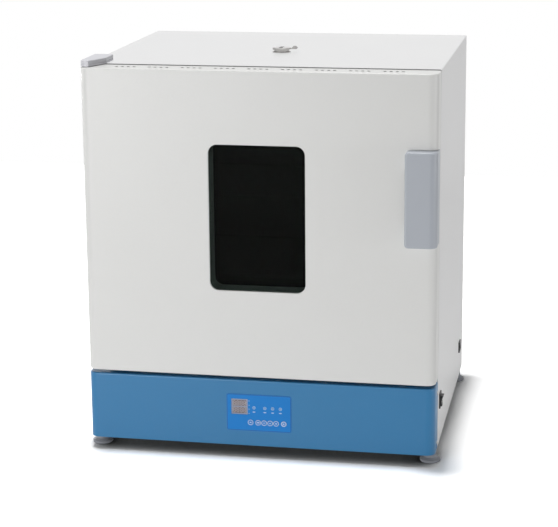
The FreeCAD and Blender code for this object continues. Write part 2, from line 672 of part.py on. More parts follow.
def shelf_rack(side, sign):
    """Upright plate on one side of the chamber, with windows between its folded ledges."""
    body = new_body(f"shelf_rack_{side}")
    wall = "(chamber_width / 2 - rack_off)"
    plate = sorted([f"{sign}{wall}", f"{sign}({wall} + sheet)"], key=number)
    ledge = sorted([f"{sign}{wall}", f"{sign}({wall} - ledge)"], key=number)
    foot = sorted([f"{sign}({wall} + sheet)", f"{sign}(chamber_width / 2)"], key=number)
    low = f"({fan_z} - rack_height / 2)"
    pad(body, "YZ", *plate, rectangle(rack_front, rack_back, low, f"{low} + rack_height"))
    for y in (rack_front, f"({rack_back} - 20)"):
        pad(body, "YZ", *foot, rectangle(y, f"{y} + 20", low, f"{low} + 12"),
            rectangle(y, f"{y} + 20", f"{low} + rack_height - 12", f"{low} + rack_height"))
    sill, head = f"{low} + 26", f"{low} + ledge_pitch - 6"
    window = pocket(body, "YZ", *plate,
                    rectangle(f"{rack_front} + 20", f"{rack_middle} - 10", sill, head),
                    rectangle(f"{rack_middle} + 10", f"{rack_back} - 20", sill, head))
    row(body, window, "Z", "ledge_pitch", "ledge_count")
    step = pad(body, "YZ", *ledge, rectangle(rack_front, rack_back, f"{low} + 20", f"{low} + 20 + sheet"))
    row(body, step, "Z", "ledge_pitch", "ledge_count")
    return body


def wire_shelf(name, level):
    """Rod frame with wires laid front to back across it, resting on a pair of ledges."""
    body = new_body(name)
    half_span = "(chamber_width / 2 - rack_off - 2)"
    front, back = f"({rack_front} + shelf_back)", f"({rack_front} + shelf_back + shelf_depth)"
    rest = f"({fan_z} - rack_height / 2 + 20 + sheet + {level} * ledge_pitch + seat)"
    rod_z = f"({rest} + shelf_rod)"
    side_x = f"({half_span} - shelf_rod)"
    for x in (f"-{side_x}", side_x):
        pad(body, "XZ", front, back, circle(x, rod_z, "shelf_rod"))
    for y in (f"({front} + shelf_rod)", f"({back} - shelf_rod)"):
        pad(body, "YZ", f"-{half_span} + shelf_rod", f"{half_span} - shelf_rod",
            circle(y, rod_z, "shelf_rod"))
    pitch = f"(2 * {side_x} / (wire_count + 1))"
    wire = pad(body, "XZ", f"{front} + 1", f"{back} - 1",
               circle(f"({pitch} - {side_x})", f"{rod_z} + shelf_rod", "shelf_wire"))
    row(body, wire, "X", pitch, "wire_count")
    return body


def temperature_probe():
    body = new_body("temperature_probe")
    pad(body, "XZ", f"{baffle_front} - 45", f"{insulation_back} + 10",
        circle("probe_x", probe_z, "probe_radius"))
    pad(body, "XZ", f"{insulation_back} + seat", f"{insulation_back} + 8",
        circle("probe_x", probe_z, "probe_radius + 3"))
    return body


# The fan and the heater behind the baffle

def fan_impeller():
    """Radial impeller about its own Y axis: back plate, hub, blades that lean back and a shroud ring."""
    body = new_body("fan_impeller")
    bore = "(shaft_radius + running)"
    revolve(body, "Revolution", "XY", "V_Axis", "0",
            [(bore, "fan_width - 14"), ("11", "fan_width - 14"), ("11", "fan_width"),
             ("fan_radius", "fan_width"), ("fan_radius", "fan_width + fan_plate"),
             (bore, "fan_width + fan_plate")])
    blade = pad(body, "XZ", "fan_plate / 2", "fan_width + fan_plate / 2", blade_outline())
    ring(body, blade, "Y", "blade_count")
    shroud = sketch(body, "XY", "0")
    chain([("fan_radius - 24", "0"), ("fan_radius", "0"), ("fan_radius", "fan_plate"),
           ("fan_radius - 24", "fan_plate")])(shroud)
    feature = body.newObject("PartDesign::Revolution", "shroud")
    feature.Profile = shroud
    feature.ReferenceAxis = (shroud, ["V_Axis"])
    feature.Angle = 360
    place(body, "0", fan_front, fan_z)
    return body


def blade_outline():
    """One blade in plan: a strip between two arcs on one centre, leaning back from the way it turns."""
    def draw(item):
        centre_x, centre_y, bend = "(fan_radius * 0.28)", "(fan_radius * 0.56)", "(fan_radius * 0.42)"
        middle = Vector(number(centre_x), number(centre_y), 0)
        angles = [math.radians(-62), math.radians(20)]
        arcs = []
        for radius in (bend, f"({bend} + fan_plate)"):
            circle_of = Part.Circle(middle, Vector(0, 0, 1), number(radius))
            arc = item.addGeometry(Part.ArcOfCircle(circle_of, *angles), False)
            pin_point(item, arc, 3, centre_x, centre_y)
            where = item.addConstraint(Sketcher.Constraint("Radius", arc, number(radius)))
            bind(item, f"Constraints[{where}]", radius)
            arcs.append((arc, radius))
        for end, degrees in ((1, -62), (2, 20)):
            for arc, radius in arcs:
                text = f"({centre_x} + {radius} * cos({degrees}))"
                where = item.addConstraint(Sketcher.Constraint("DistanceX", -1, 1, arc, end, number(text)))
                bind(item, f"Constraints[{where}]", text)
            spots = [item.getPoint(arc, end) for arc, _ in arcs]
            line = item.addGeometry(Part.LineSegment(*spots), False)
            item.addConstraint(Sketcher.Constraint("Coincident", line, 1, arcs[0][0], end))
            item.addConstraint(Sketcher.Constraint("Coincident", line, 2, arcs[1][0], end))
    return draw


def fan_shaft():
    body = new_body("fan_shaft")
    pad(body, "XZ", f"{fan_front} + fan_width - 16", f"{motor_front} + 20",
        circle("0", fan_z, "shaft_radius"))
    return body


def fan_motor():
    """Round motor with a finned waist and a bored nose, drawn about its own Y axis."""
    body = new_body("fan_motor")
    bore = "(shaft_radius + running)"
    end = "motor_length"
    revolve(body, "Revolution", "XY", "V_Axis", "0",
            [(bore, "0"), ("motor_radius - 4", "0"), ("motor_radius", "4"), ("motor_radius", "14"),
             ("motor_radius - 5", "14"), ("motor_radius - 5", f"{end} - 14"),
             ("motor_radius", f"{end} - 14"), ("motor_radius", f"{end} - 4"), ("motor_radius - 4", end),
             ("10", end), ("10", f"{end} - 3"), (bore, f"{end} - 3")])
    rib = pad(body, "XZ", "13", f"{end} - 13", centred("(motor_radius - 5)", "0", "8", "3"))
    ring(body, rib, "Y", "16")
    place(body, "0", motor_front, fan_z)
    return body


def motor_bracket():
    """Stepped plate that holds the motor off the back panel."""
    body = new_body("motor_bracket")
    half = f"({motor_opening} / 2 + 4)"
    front = f"({insulation_back} + seat)"
    pad(body, "XZ", front, motor_front, centred("0", fan_z, "150", f"(2 * {half})"))
    pocket(body, "XZ", front, motor_front, circle("0", fan_z, "shaft_radius + 4"))
    for sign in ("-", "+"):
        inner, outer = f"({fan_z} {sign} {half})", f"({fan_z} {sign} ({half} - 2))"
        pad(body, "XZ", motor_front, f"{back_y} - sheet",
            rectangle("-75", "75", *sorted([inner, outer], key=number)))
        foot = f"({fan_z} {sign} ({half} + 14))"
        pad(body, "XZ", f"{back_y} - sheet - 2", f"{back_y} - sheet",
            rectangle("-75", "75", *sorted([inner, foot], key=number)))
    return body


def motor_cover():
    """Pressed cover over the motor with two rows of air slots and a screw tab at each side."""
    body = new_body("motor_cover")
    rear = f"({back_y} + cover_proud)"
    pad(body, "XZ", back_y, rear, centred("0", fan_z, "(2 * cover_half)", "(2 * cover_half)", "cover_round"))
    fillet_along(body, "cover_edge", "X", [(rear, f"{fan_z} - cover_half"), (rear, f"{fan_z} + cover_half")])
    inner = "(cover_half - sheet)"
    pocket(body, "XZ", back_y, f"{rear} - cover_edge",
           centred("0", fan_z, f"(2 * {inner})", f"(2 * {inner})", "cover_round - sheet"))
    pocket(body, "XZ", f"{rear} - cover_edge", f"{rear} - sheet",
           centred("0", fan_z, f"(2 * {inner} - 2 * cover_edge)", f"(2 * {inner} - 2 * cover_edge)",
                   "cover_round - sheet"))
    pad(body, "XZ", back_y, f"{back_y} + sheet",
        centred("-(cover_half + 7)", fan_z, "16", "40"), centred("(cover_half + 7)", fan_z, "16", "40"))
    slot = pocket(body, "XZ", f"{rear} - sheet", rear,
                  centred("(-cover_pitch * (cover_slots - 1) / 2)", f"({fan_z} - 35)", "5", "50"),
                  centred("(-cover_pitch * (cover_slots - 1) / 2)", f"({fan_z} + 35)", "5", "50"))
    row(body, slot, "X", "cover_pitch", "cover_slots")
    return body


def heater_element():
    """Sheathed heater: one tube bent to an open ring round the fan, both ends led out at the rear."""
    item = doc.addObject("Part::Feature", "heater_element")
    item.Label = "heater_element"
    radius, bend, leg = number("heater_ring"), number("heater_bend"), number("heater_leg")
    middle_y, middle_z, end_y = number(heater_y), number(fan_z), number(f"{insulation_back} + 12")
    leg_z = number(heater_leg_z)
    angle = math.radians(number(heater_half_angle))
    halves = []
    for side in (-1, 1):
        outlet = Vector(side * leg, end_y, leg_z)
        elbow = Vector(side * leg, middle_y + bend, leg_z)
        ring_end = Vector(side * radius * math.sin(angle), middle_y, middle_z - radius * math.cos(angle))
        centre = ring_end + Vector(0, bend, 0)
        way = (elbow - centre).normalize() + Vector(0, -1, 0)
        halves.append((outlet, elbow, centre + way.normalize() * bend, ring_end))
    (out_a, elbow_a, half_a, end_a), (out_b, elbow_b, half_b, end_b) = halves
    top = Vector(0, middle_y, middle_z + radius)
    path = Part.Wire([Part.LineSegment(out_a, elbow_a).toShape(), Part.Arc(elbow_a, half_a, end_a).toShape(),
                      Part.Arc(end_a, top, end_b).toShape(), Part.Arc(end_b, half_b, elbow_b).toShape(),
                      Part.LineSegment(elbow_b, out_b).toShape()])
    section = Part.Wire([Part.Circle(out_a, Vector(0, 1, 0), number("heater_radius")).toShape()])
    item.Shape = path.makePipeShell([section], True, False)
    nodes.append(item)
    return item


# The vent on the top panel

def exhaust_tube():
    body = new_body("exhaust_tube")
    pad(body, "XY", chamber_high, f"({top_z} + collar_height - 2 - seat)",
        circle("0", "vent_y", "tube_radius"), circle("0", "vent_y", "tube_radius - tube_wall"))
    return body


def vent_collar():
    """Chromed collar with a foot ring; its closed top has two ports and the pivot hole of the cap."""
    body = new_body("vent_collar")
    rim = "(tube_radius + seat)"
    revolve(body, "Revolution", "XZ", "V_Axis", "0",
            [(rim, "0"), ("vent_cap_radius", "0"), ("vent_cap_radius", "1.5"), ("collar_radius", "2.5"),
             ("collar_radius", "collar_height"), ("pivot_radius + running", "collar_height"),
             ("pivot_radius + running", "collar_height - 2"), (rim, "collar_height - 2")])
    pocket(body, "XY", "collar_height - 2", "collar_height",
           circle("-port_offset", "0", "port_radius"), circle("port_offset", "0", "port_radius"))
    place(body, "0", "vent_y", top_z)
    return body


def vent_cap():
    """Turning cap: two ports that a quarter turn brings over the collar's, and a lever, a strip on edge."""
    body = new_body("vent_cap")
    low = "(collar_height + seat)"
    high = "(collar_height + seat + vent_cap_height)"
    revolve(body, "Revolution", "XZ", "V_Axis", "0",
            [("0", "collar_height - 4"), ("pivot_radius", "collar_height - 4"), ("pivot_radius", low),
             ("vent_cap_radius - 2", low), ("vent_cap_radius", f"{low} + 0.6"),
             ("vent_cap_radius", f"{high} - 1.6"), ("vent_cap_radius - 2", f"{high} - 0.5"),
             ("6", high), ("0", high)])
    pad(body, "XZ", "-lever_sheet / 2", "lever_sheet / 2",
        chain([("vent_cap_radius - 4", f"{low} + 1"), ("lever_reach - 3", f"{low} + 1"),
               ("lever_reach", f"{low} + 4"), ("lever_reach - 4", f"{high} + lever_rise"),
               ("vent_cap_radius + 6", f"{high} + lever_rise"), ("vent_cap_radius + 2", f"{high} - 1"),
               ("vent_cap_radius - 4", f"{high} - 1")]))
    pocket(body, "XY", low, high,
           circle("0", "-port_offset", "port_radius"), circle("0", "port_offset", "port_radius"))
    place(body, "0", "vent_y", top_z)
    return body


# The hinges on the left

def upper_hinge_bracket():
    """Plate on the top panel that reaches over the door, with the pin riveted in it."""
    body = new_body("upper_hinge_bracket")
    left, front, rear = f"({pin_x} - 6)", f"({pin_y} - 9)", f"({case_front} + 40)"
    pad(body, "XY", top_z, f"{top_z} + bracket",
        chain([(left, front), (f"{left} + 14", front), (f"{left} + bracket_width", case_front),
               (f"{left} + bracket_width", rear), (left, rear)]))
    pad(body, "XY", f"{door_top} - pin_reach", top_z, circle(pin_x, pin_y, "pin_radius"))
    pad(body, "XY", f"{top_z} + bracket", f"{top_z} + bracket + 2.5",
        circle(pin_x, pin_y, "pin_radius + 1"))
    fillet_along(body, "4", "Z", [(left, front), (f"{left} + 14", front)])
    return body


def lower_hinge_bracket():
    """Angle on the case front whose flat leg carries the door between fascia and door."""
    body = new_body("lower_hinge_bracket")
    left = f"({pin_x} - 6)"
    right = f"({left} + bracket_width + 10)"
    plate_low = f"({fascia_top} + 1.2)"
    plate_high = f"({plate_low} + bracket)"
    pad(body, "XY", plate_low, plate_high, rectangle(left, right, f"{pin_y} - 9", case_front))
    pad(body, "XY", plate_high, f"{door_low} + pin_reach", circle(pin_x, pin_y, "pin_radius"))
    pad(body, "XZ", f"{case_front} - (door_gap - seat)", case_front,
        rectangle(f"{left} + 16", right, f"{fascia_top} - 30", plate_low))
    fillet_along(body, "5", "Z", [(left, f"{pin_y} - 9"), (right, f"{pin_y} - 9")])
    return body


def hinge_bush(name, start, end):
    body = new_body(name)
    pad(body, "XY", start, end, centred(pin_x, pin_y, "(2 * bush_half)", "(2 * bush_half)"),
        circle(pin_x, pin_y, "pin_radius + running"))
    return body


def hinge_cap():
    """Moulded cap over the upper hinge: round tip over the door, slanting front, groove above its foot."""
    body = new_body("hinge_cap")
    left, front = f"(-{half_width})", f"({front_y} + cap_front)"
    right, rear = f"({left} + cap_width)", f"({front} + cap_length)"
    groove, high = f"({top_z} + cap_foot)", f"({top_z} + cap_height)"
    storeys = ((top_z, groove, "0"), (groove, f"{groove} + 1", "1.2"), (f"{groove} + 1", high, "0.3"))
    for start, end, inset in storeys:
        pad(body, "XY", start, end,
            chain([(f"{left} + {inset}", f"{front} + {inset}", f"cap_round - {inset}"),
                   (f"{left} + cap_tip", f"{front} + {inset}"),
                   (f"{right} - {inset}", f"{case_front} + {inset}"),
                   (f"{right} - {inset}", f"{rear} - {inset}", f"cap_round / 2 - {inset}"),
                   (f"{left} + {inset}", f"{rear} - {inset}")]))
    fillet(body, "cap_edge", lambda shape: edges_at(shape, number(high)))
    inside_front, inside_rear = f"({pin_y} - 12)", f"({case_front} + 42)"
    pocket(body, "XY", top_z, f"{top_z} + bracket + 3",
           chain([(f"{left} + cap_wall", inside_front), (f"{left} + cap_tip + cap_wall", inside_front),
                  (f"{right} - cap_wall", case_front), (f"{right} - cap_wall", inside_rear),
                  (f"{left} + cap_wall", inside_rear)]))
    return body


# The door

def door_skin():
    """Folded steel skin: rounded front corners, turned-in window edge, vent slots along the top."""
    body = new_body("door_skin")
    pad(body, "XY", door_low, door_top,
        rectangle(f"-{half_width}", half_width, front_y, door_back, "corner", "low"))
    fillet_along(body, "edge_round", "X", [(front_y, door_low), (front_y, door_top)])
    inner = f"({half_width} - sheet)"
    pocket(body, "XY", f"{door_low} + edge_round", f"{door_top} - edge_round",
           rectangle(f"-{inner}", inner, f"{front_y} + sheet", f"{door_back} + 1", "corner - sheet", "low"))
    deep = f"({front_y} + sheet + edge_round)"
    for start, end in ((f"{door_low} + sheet", f"{door_low} + edge_round"),
                       (f"{door_top} - edge_round", f"{door_top} - sheet")):
        pocket(body, "XY", start, end,
               rectangle(f"-({inner} - edge_round)", f"{inner} - edge_round", deep, f"{door_back} + 1",
                         "corner - sheet", "low"))
    wide, tall = "(window_width + 2 * sheet)", "(window_height + 2 * sheet)"
    pad(body, "XZ", f"{front_y} + sheet", f"{front_y} + window_lip",
        centred("0", window_z, wide, tall, "window_corner + sheet"))
    pocket(body, "XZ", front_y, f"{front_y} + window_lip",
           centred("0", window_z, "window_width", "window_height", "window_corner"))
    start = "(-slot_group_pitch * (slot_groups - 1) / 2)"
    slots = [centred(f"({start} + {step} * slot_pitch)", f"({front_y} + door_thickness / 2)",
                     "slot_length", "slot_width") for step in ("-1.5", "-0.5", "0.5", "1.5")]
    group = pocket(body, "XY", f"{door_top} - sheet", door_top, *slots)
    row(body, group, "X", "slot_group_pitch", "slot_groups")
    for low in (f"{door_top} - sheet", door_low):
        pocket(body, "XY", low, f"{low} + sheet", circle(pin_x, pin_y, "pin_radius + 1"))
    return body


def door_inner_panel():
    """Stainless inner panel with a step that enters the chamber's mouth, open at the window."""
    body = new_body("door_inner_panel")
    panel_x = f"({half_width} - sheet - seat)"
    margin = "(edge_round + seat)"
    pad(body, "XZ", f"{door_back} - sheet", door_back,
        rectangle(f"-{panel_x}", panel_x, f"{door_low} + {margin}", f"{door_top} - {margin}"))
    step_x = "(chamber_width / 2 - plug_gap)"
    step_back = f"({case_front} + plug_depth)"
    low, high = f"({chamber_low} + plug_gap)", f"({chamber_high} - plug_gap)"
    pad(body, "XZ", door_back, step_back, rectangle(f"-{step_x}", step_x, low, high, "chamber_corner"))
    pocket(body, "XZ", f"{door_back} - sheet", f"{step_back} - sheet",
           rectangle(f"-({step_x} - sheet)", f"{step_x} - sheet", f"{low} + sheet", f"{high} - sheet",
                     "chamber_corner - sheet"))
    pocket(body, "XZ", f"{step_back} - sheet", step_back,
           centred("0", window_z, "window_width", "window_height", "window_corner"))
    return body


def door_insulation():
    """Wool filling of the door, cut away round the window frame and the hinge bushes."""
    body = new_body("door_insulation")
    out_x = f"({half_width} - sheet - seat)"
    front, back = f"({front_y} + sheet + seat)", f"({door_back} - sheet - seat)"
    low, high = f"({door_low} + edge_round + seat)", f"({door_top} - edge_round - seat)"
    pad(body, "XY", low, high, rectangle(f"-{out_x}", out_x, front, back, "corner - sheet - seat", "low"))
    margin = "(2 * (glass_lap + 2 * seat))"
    pocket(body, "XZ", front, back,
           centred("0", window_z, f"(window_width + {margin})", f"(window_height + {margin})"))
    for start, end in ((low, f"{low} + pin_reach + 6"), (f"{high} - pin_reach - 6", high)):
        pocket(body, "XY", start, end,
               rectangle(f"-{out_x} - 1", f"{pin_x} + bush_half + seat", f"{front} - 1", back))
    return body


def pane(name, front, back):
    body = new_body(name)
    wide, tall = "(window_width + 2 * glass_lap)", "(window_height + 2 * glass_lap)"
    pad(body, "XZ", front, back, centred("0", window_z, wide, tall, "glass_corner"))
    return body


def window_frame():
    """Deep frame between the panes: its inside is the reveal seen through the outer pane."""
    body = new_body("window_frame")
    wide, tall = "(window_width + 2 * glass_lap)", "(window_height + 2 * glass_lap)"
    pad(body, "XZ", tunnel_front, tunnel_back, centred("0", window_z, wide, tall, "glass_corner"))
    pocket(body, "XZ", tunnel_front, tunnel_back,
           centred("0", window_z, "window_width", "window_height", "window_corner"))
    pocket(body, "XZ", f"{tunnel_front} + tunnel_wall", f"{tunnel_back} - tunnel_wall",
           centred("0", window_z, f"({wide} + 2)", f"({tall} + 2)"),
           centred("0", window_z, "(window_width + 2 * tunnel_wall)", "(window_height + 2 * tunnel_wall)",
                   "window_corner + tunnel_wall"))
    return body


def door_gasket():
    """Flat silicone ring on the inner panel that closes on the mouth frame."""
    body = new_body("door_gasket")
    ring_x = "(chamber_width / 2 + gasket_offset)"
    low, high = f"({chamber_low} - gasket_offset)", f"({chamber_high} + gasket_offset)"
    back = f"({case_front} - seat)"
    pad(body, "XZ", door_back, back,
        rectangle(f"-({ring_x} + gasket_width)", f"{ring_x} + gasket_width",
                  f"{low} - gasket_width", f"{high} + gasket_width", "chamber_corner + gasket_width"),
        rectangle(f"-{ring_x}", ring_x, low, high, "chamber_corner"))
    return body


def door_handle():
    """Moulded pull handle that wraps the door's right corner, open behind its left side for the fingers."""
    body = new_body("door_handle")
    left = f"({handle_right} - handle_width)"
    front, back = f"({front_y} - handle_proud)", f"({front_y} + handle_wrap)"
    low, high = f"({handle_z} - handle_height / 2)", f"({handle_z} + handle_height / 2)"
    pad(body, "XY", low, high, rectangle(left, handle_right, front, back))
    fillet_along(body, "handle_corner", "Z", [(handle_right, front)])
    fillet_along(body, "handle_round", "Y", [(left, low), (left, high)])
    fillet_along(body, "handle_edge", "Z", [(left, front)])
    door_side = f"({half_width} + seat)"
    door_face = f"({front_y} - seat)"
    pocket(body, "XY", low, high, rectangle(f"{left} - 1", door_side, door_face, f"{back} + 1"))
    fillet_along(body, "corner + seat", "Z", [(door_side, door_face)])
    pocket(body, "XZ", f"{front} + handle_wall", door_face,
           rectangle(f"{left} - 1", f"{left} + grip_depth",
                     f"{handle_z} - grip_height / 2", f"{handle_z} + grip_height / 2"))
    return body


def catch_magnet():
    """Magnet in a round housing, set into the mouth frame at the handle's height."""
    body = new_body("catch_magnet")
    face = f"({case_front} - 1)"
    pad(body, "XZ", face, f"{case_front} + magnet_length - 3", circle(magnet_x, handle_z, "magnet_radius"))
    pad(body, "XZ", face, case_front, circle(magnet_x, handle_z, "magnet_radius + 1.5"))
    return body


def catch_plate():
    """Steel keeper on the door, facing the magnet."""
    body = new_body("catch_plate")
    pad(body, "XZ", door_back, f"{case_front} - 1 - seat", circle(magnet_x, handle_z, "magnet_radius + 1"))
    return body


# The fascia and its controls

def control_fascia():
    """Blue folded fascia, open below and behind, with cut-outs under the keypad overlay."""
    body = new_body("control_fascia")
    pad(body, "XY", "foot_height", fascia_top,
        rectangle(f"-{half_width}", half_width, front_y, door_back, "corner", "low"))
    fillet_along(body, "edge_round", "X", [(front_y, fascia_top)])
    inner = f"({half_width} - sheet)"
    pocket(body, "XY", "foot_height", f"{fascia_top} - edge_round",
           rectangle(f"-{inner}", inner, f"{front_y} + sheet", f"{door_back} + 1", "corner - sheet", "low"))
    pocket(body, "XY", f"{fascia_top} - edge_round", f"{fascia_top} - sheet",
           rectangle(f"-({inner} - edge_round)", f"{inner} - edge_round", f"{front_y} + sheet + edge_round",
                     f"{door_back} + 1", "corner - sheet", "low"))
    pocket(body, "XZ", front_y, f"{front_y} + sheet",
           centred("display_x", display_z, "(display_width - 2)", "(display_height - 2)"),
           *[circle(x, key_z, "key_stem + 2 * key_gap") for x in key_places],
           *[circle(x, led_z, "led_radius + key_gap") for x in led_places])
    pocket(body, "YZ", f"-{half_width} - 1", half_width,
           *[circle(y, z, "screw_radius + seat") for y, z in fascia_screw_places])
    return body


def fascia_brackets():
    """Two angles on the front return of the case that the fascia's upper side screws bite into."""
    body = new_body("fascia_brackets")
    low, high = f"({upper_screw_z} - 16)", f"({upper_screw_z} + 16)"
    for sign in ("-", ""):
        outer = f"{sign}({half_width} - sheet - seat)"
        inner = f"{sign}({half_width} - sheet - seat - 1.8)"
        leg = sorted([outer, inner], key=number)
        foot = sorted([outer, f"{sign}({half_width} - lip + 2)"], key=number)
        pad(body, "XZ", f"{case_front} - 30", case_front, rectangle(*leg, low, high))
        pad(body, "XZ", f"{case_front} - 1.8", case_front, rectangle(*foot, low, high))
        pocket(body, "YZ", *leg, circle(screw_y, upper_screw_z, "screw_radius + seat"))
    return body


def keypad_overlay():
    """Printed overlay on the fascia, cut out for the display, the keys and the indicators."""
    body = new_body("keypad_overlay")
    face = f"({front_y} - overlay_thick)"
    pad(body, "XZ", face, front_y,
        centred("0", overlay_z, "overlay_width", "overlay_height", "overlay_corner"))
    pocket(body, "XZ", face, front_y,
           centred("display_x", display_z, "(display_width + 2 * seat)", "(display_height + 2 * seat)"),
           *[circle(x, key_z, "key_radius + key_gap") for x in key_places],
           *[circle(x, led_z, "led_radius + key_gap") for x in led_places])
    return body


def display_lens():
    body = new_body("display_lens")
    pad(body, "XZ", f"{front_y} - overlay_thick - 0.2", front_y,
        centred("display_x", display_z, "display_width", "display_height"))
    return body


def led_digits():
    """Two rows of four seven-segment digits behind the lens, standing on the control board."""
    body = new_body("led_digits")
    for sign in ("-", "+"):
        middle = f"({display_z} {sign} (digit_height + digit_gap) / 2)"
        pad(body, "XZ", f"{front_y} + seat", board_front,
            centred("display_x", middle, "(display_width - 2 - 2 * digit_gap)",
                    "(digit_height - digit_gap / 2)"))
    return body


def indicator_leds():
    body = new_body("indicator_leds")
    pad(body, "XZ", f"{front_y} - overlay_thick - 0.2", board_front,
        *[circle(x, led_z, "led_radius") for x in led_places])
    return body


def key(name, x):
    """Round key with a stem that works the switch on the board."""
    body = new_body(name)
    face = f"({front_y} - overlay_thick - key_proud)"
    back = f"({front_y} - key_travel - 0.15)"
    pad(body, "XZ", face, back, circle(x, key_z, "key_radius"))
    pad(body, "XZ", back, f"{board_front} - tact_height + 0.6", circle(x, key_z, "key_stem"))
    return body


def control_board():
    """Board on four spacers behind the fascia, with a switch housing behind each key."""
    body = new_body("control_board")
    back = f"({board_front} + board)"
    board_width, board_height = "(overlay_width - 8)", "(overlay_height - 8)"
    pad(body, "XZ", board_front, back, centred("0", overlay_z, board_width, board_height))
    spacers = [circle(f"({sx}({board_width} / 2 - 4))", f"({overlay_z} {sz} ({board_height} / 2 - 4))", "3")
               for sx in ("-", "") for sz in ("-", "+")]
    pad(body, "XZ", f"{front_y} + sheet", board_front, *spacers)
    pad(body, "XZ", f"{board_front} - tact_height", board_front,
        *[centred(x, key_z, "6.6", "6.6") for x in key_places])
    pocket(body, "XZ", f"{board_front} - tact_height", f"{board_front} - 1",
           *[circle(x, key_z, "key_stem + key_gap") for x in key_places])
    pad(body, "XZ", back, f"{back} + 12",
        centred("-30", overlay_z, "34", "20"), centred("32", overlay_z, "24", "30"))
    return body


def power_board():
    """Supply board in the lower bay: transformer, finned heat sink, relay and terminals on one plate."""
    body = new_body("power_board")
    floor = "(foot_height + sheet)"
    plate = f"({floor} + 10)"
    top = f"({plate} + board)"
    pad(body, "XY", plate, top, rectangle("-110", "110", "20", "160"))
    pad(body, "XY", floor, plate, *[circle(x, y, "4") for x in ("-100", "100") for y in ("30", "150")])
    pad(body, "XY", top, f"{top} + 42", rectangle("-96", "-40", "60", "108"))
    pad(body, "XY", top, f"{top} + 22", rectangle("-84", "-52", "52", "116"))
    fin = pad(body, "XY", top, f"{top} + 46", rectangle("30", "33", "50", "120"))
    row(body, fin, "X", "8", "8")
    pad(body, "XY", top, f"{top} + 6", rectangle("30", "89", "50", "120"))
    pad(body, "XY", top, f"{top} + 16",
        rectangle("-20", "10", "80", "100"), rectangle("-90", "90", "136", "150"))
    return body


# The switch and the inlet in the right side

def switch_housing():
    """Snap-in housing of the rocker switch, with a bezel on the case."""
    body = new_body("switch_housing")
    face, deep = f"({half_width} + switch_bezel)", f"({half_width} - switch_depth)"
    pad(body, "YZ", half_width, face, centred(switch_y, switch_z, "switch_width", "switch_height", "2"))
    pad(body, "YZ", deep, half_width, centred(switch_y, switch_z, switch_body_width, switch_body_height))
    pocket(body, "YZ", f"{deep} + 8", face,
           centred(switch_y, switch_z, "(rocker_width + 2 * seat)", rocker_well))
    reach = "(rocker_width / 2 + pivot_reach + seat)"
    pocket(body, "XZ", f"{switch_y} - {reach}", f"{switch_y} + {reach}",
           circle(rocker_x, switch_z, "rocker_pivot + running"))
    return body


def switch_rocker():
    """Rocker with a shallow V face, drawn level about its pivot and set at its off tilt."""
    body = new_body("switch_rocker")
    half = "(rocker_height / 2)"
    pad(body, "XZ", "-rocker_width / 2", "rocker_width / 2",
        chain([("rocker_nose", f"-{half}"), ("rocker_nose - 2.6", "0"), ("rocker_nose", half),
               ("-1", f"{half} - 0.6"), ("-8", "5"), ("-8", "-5"), ("-1", f"-({half} - 0.6)")]))
    pad(body, "XZ", "-(rocker_width / 2 + pivot_reach)", "rocker_width / 2 + pivot_reach",
        circle("0", "0", "rocker_pivot"))
    body.Placement.Rotation = FreeCAD.Rotation(Vector(0, 1, 0), number("rocker_tilt"))
    place(body, rocker_x, switch_y, switch_z)
    return body


def power_inlet():
    """Three-pin inlet with a flange on the case and a chamfered socket."""
    body = new_body("power_inlet")
    face = f"({half_width} + inlet_flange)"
    deep = f"({half_width} - inlet_depth)"
    pad(body, "YZ", half_width, face, centred(inlet_y, inlet_z, "inlet_width", "inlet_height", "3"))
    pad(body, "YZ", deep, half_width, centred(inlet_y, inlet_z, inlet_body_width, inlet_body_height))
    low, high = f"({inlet_z} - 8.3)", f"({inlet_z} + 8.3)"
    pocket(body, "YZ", f"{deep} + 4", face,
           chain([(f"{inlet_y} - 12", low), (f"{inlet_y} + 12", low), (f"{inlet_y} + 12", f"{high} - 5"),
                  (f"{inlet_y} + 7", high), (f"{inlet_y} - 7", high), (f"{inlet_y} - 12", f"{high} - 5")]))
    pins = [(f"({inlet_y} - 7)", f"({inlet_z} - 2)"), (f"({inlet_y} + 7)", f"({inlet_z} - 2)"),
            (inlet_y, f"({inlet_z} + 3)")]
    pad(body, "YZ", f"{deep} + 4", f"{face} - 6", *[centred(y, z, "2", "4") for y, z in pins])
    return body


# Feet and screws

def feet():
    """Four moulded feet with their studs, each held by a nut on the base pan."""
    body = new_body("feet")
    top = "foot_height"
    foot = revolve(body, "Revolution", "XZ", "V_Axis", "0",
                   [("0", "0"), ("foot_radius - 1", "0"), ("foot_radius", "1.5"), ("foot_radius", "5"),
                    ("foot_top_radius + 2", "9"), ("foot_top_radius", "13"), ("foot_top_radius", top),
                    ("stud_radius", top), ("stud_radius", f"{top} + sheet"), ("7", f"{top} + sheet"),
                    ("7", f"{top} + sheet + 6"), ("stud_radius", f"{top} + sheet + 6"),
                    ("stud_radius", f"{top} + sheet + 9"), ("0", f"{top} + sheet + 9")])
    grid(body, foot, f"(2 * {foot_x})", f"({foot_rear_y} - {foot_front_y})")
    place(body, f"-{foot_x}", foot_front_y, "0")
    return body


def fascia_screws():
    """Pan-head screws through the fascia's side flanges."""
    body = new_body("fascia_screws")
    for sign in ("-", ""):
        shank = sorted([f"{sign}({half_width} - sheet - 5)", f"{sign}{half_width}"], key=number)
        head = sorted([f"{sign}{half_width}", f"{sign}({half_width} + screw_head)"], key=number)
        pad(body, "YZ", *shank, *[circle(y, z, "screw_radius") for y, z in fascia_screw_places])
        pad(body, "YZ", *head, *[circle(y, z, "2 * screw_radius") for y, z in fascia_screw_places])
    return body


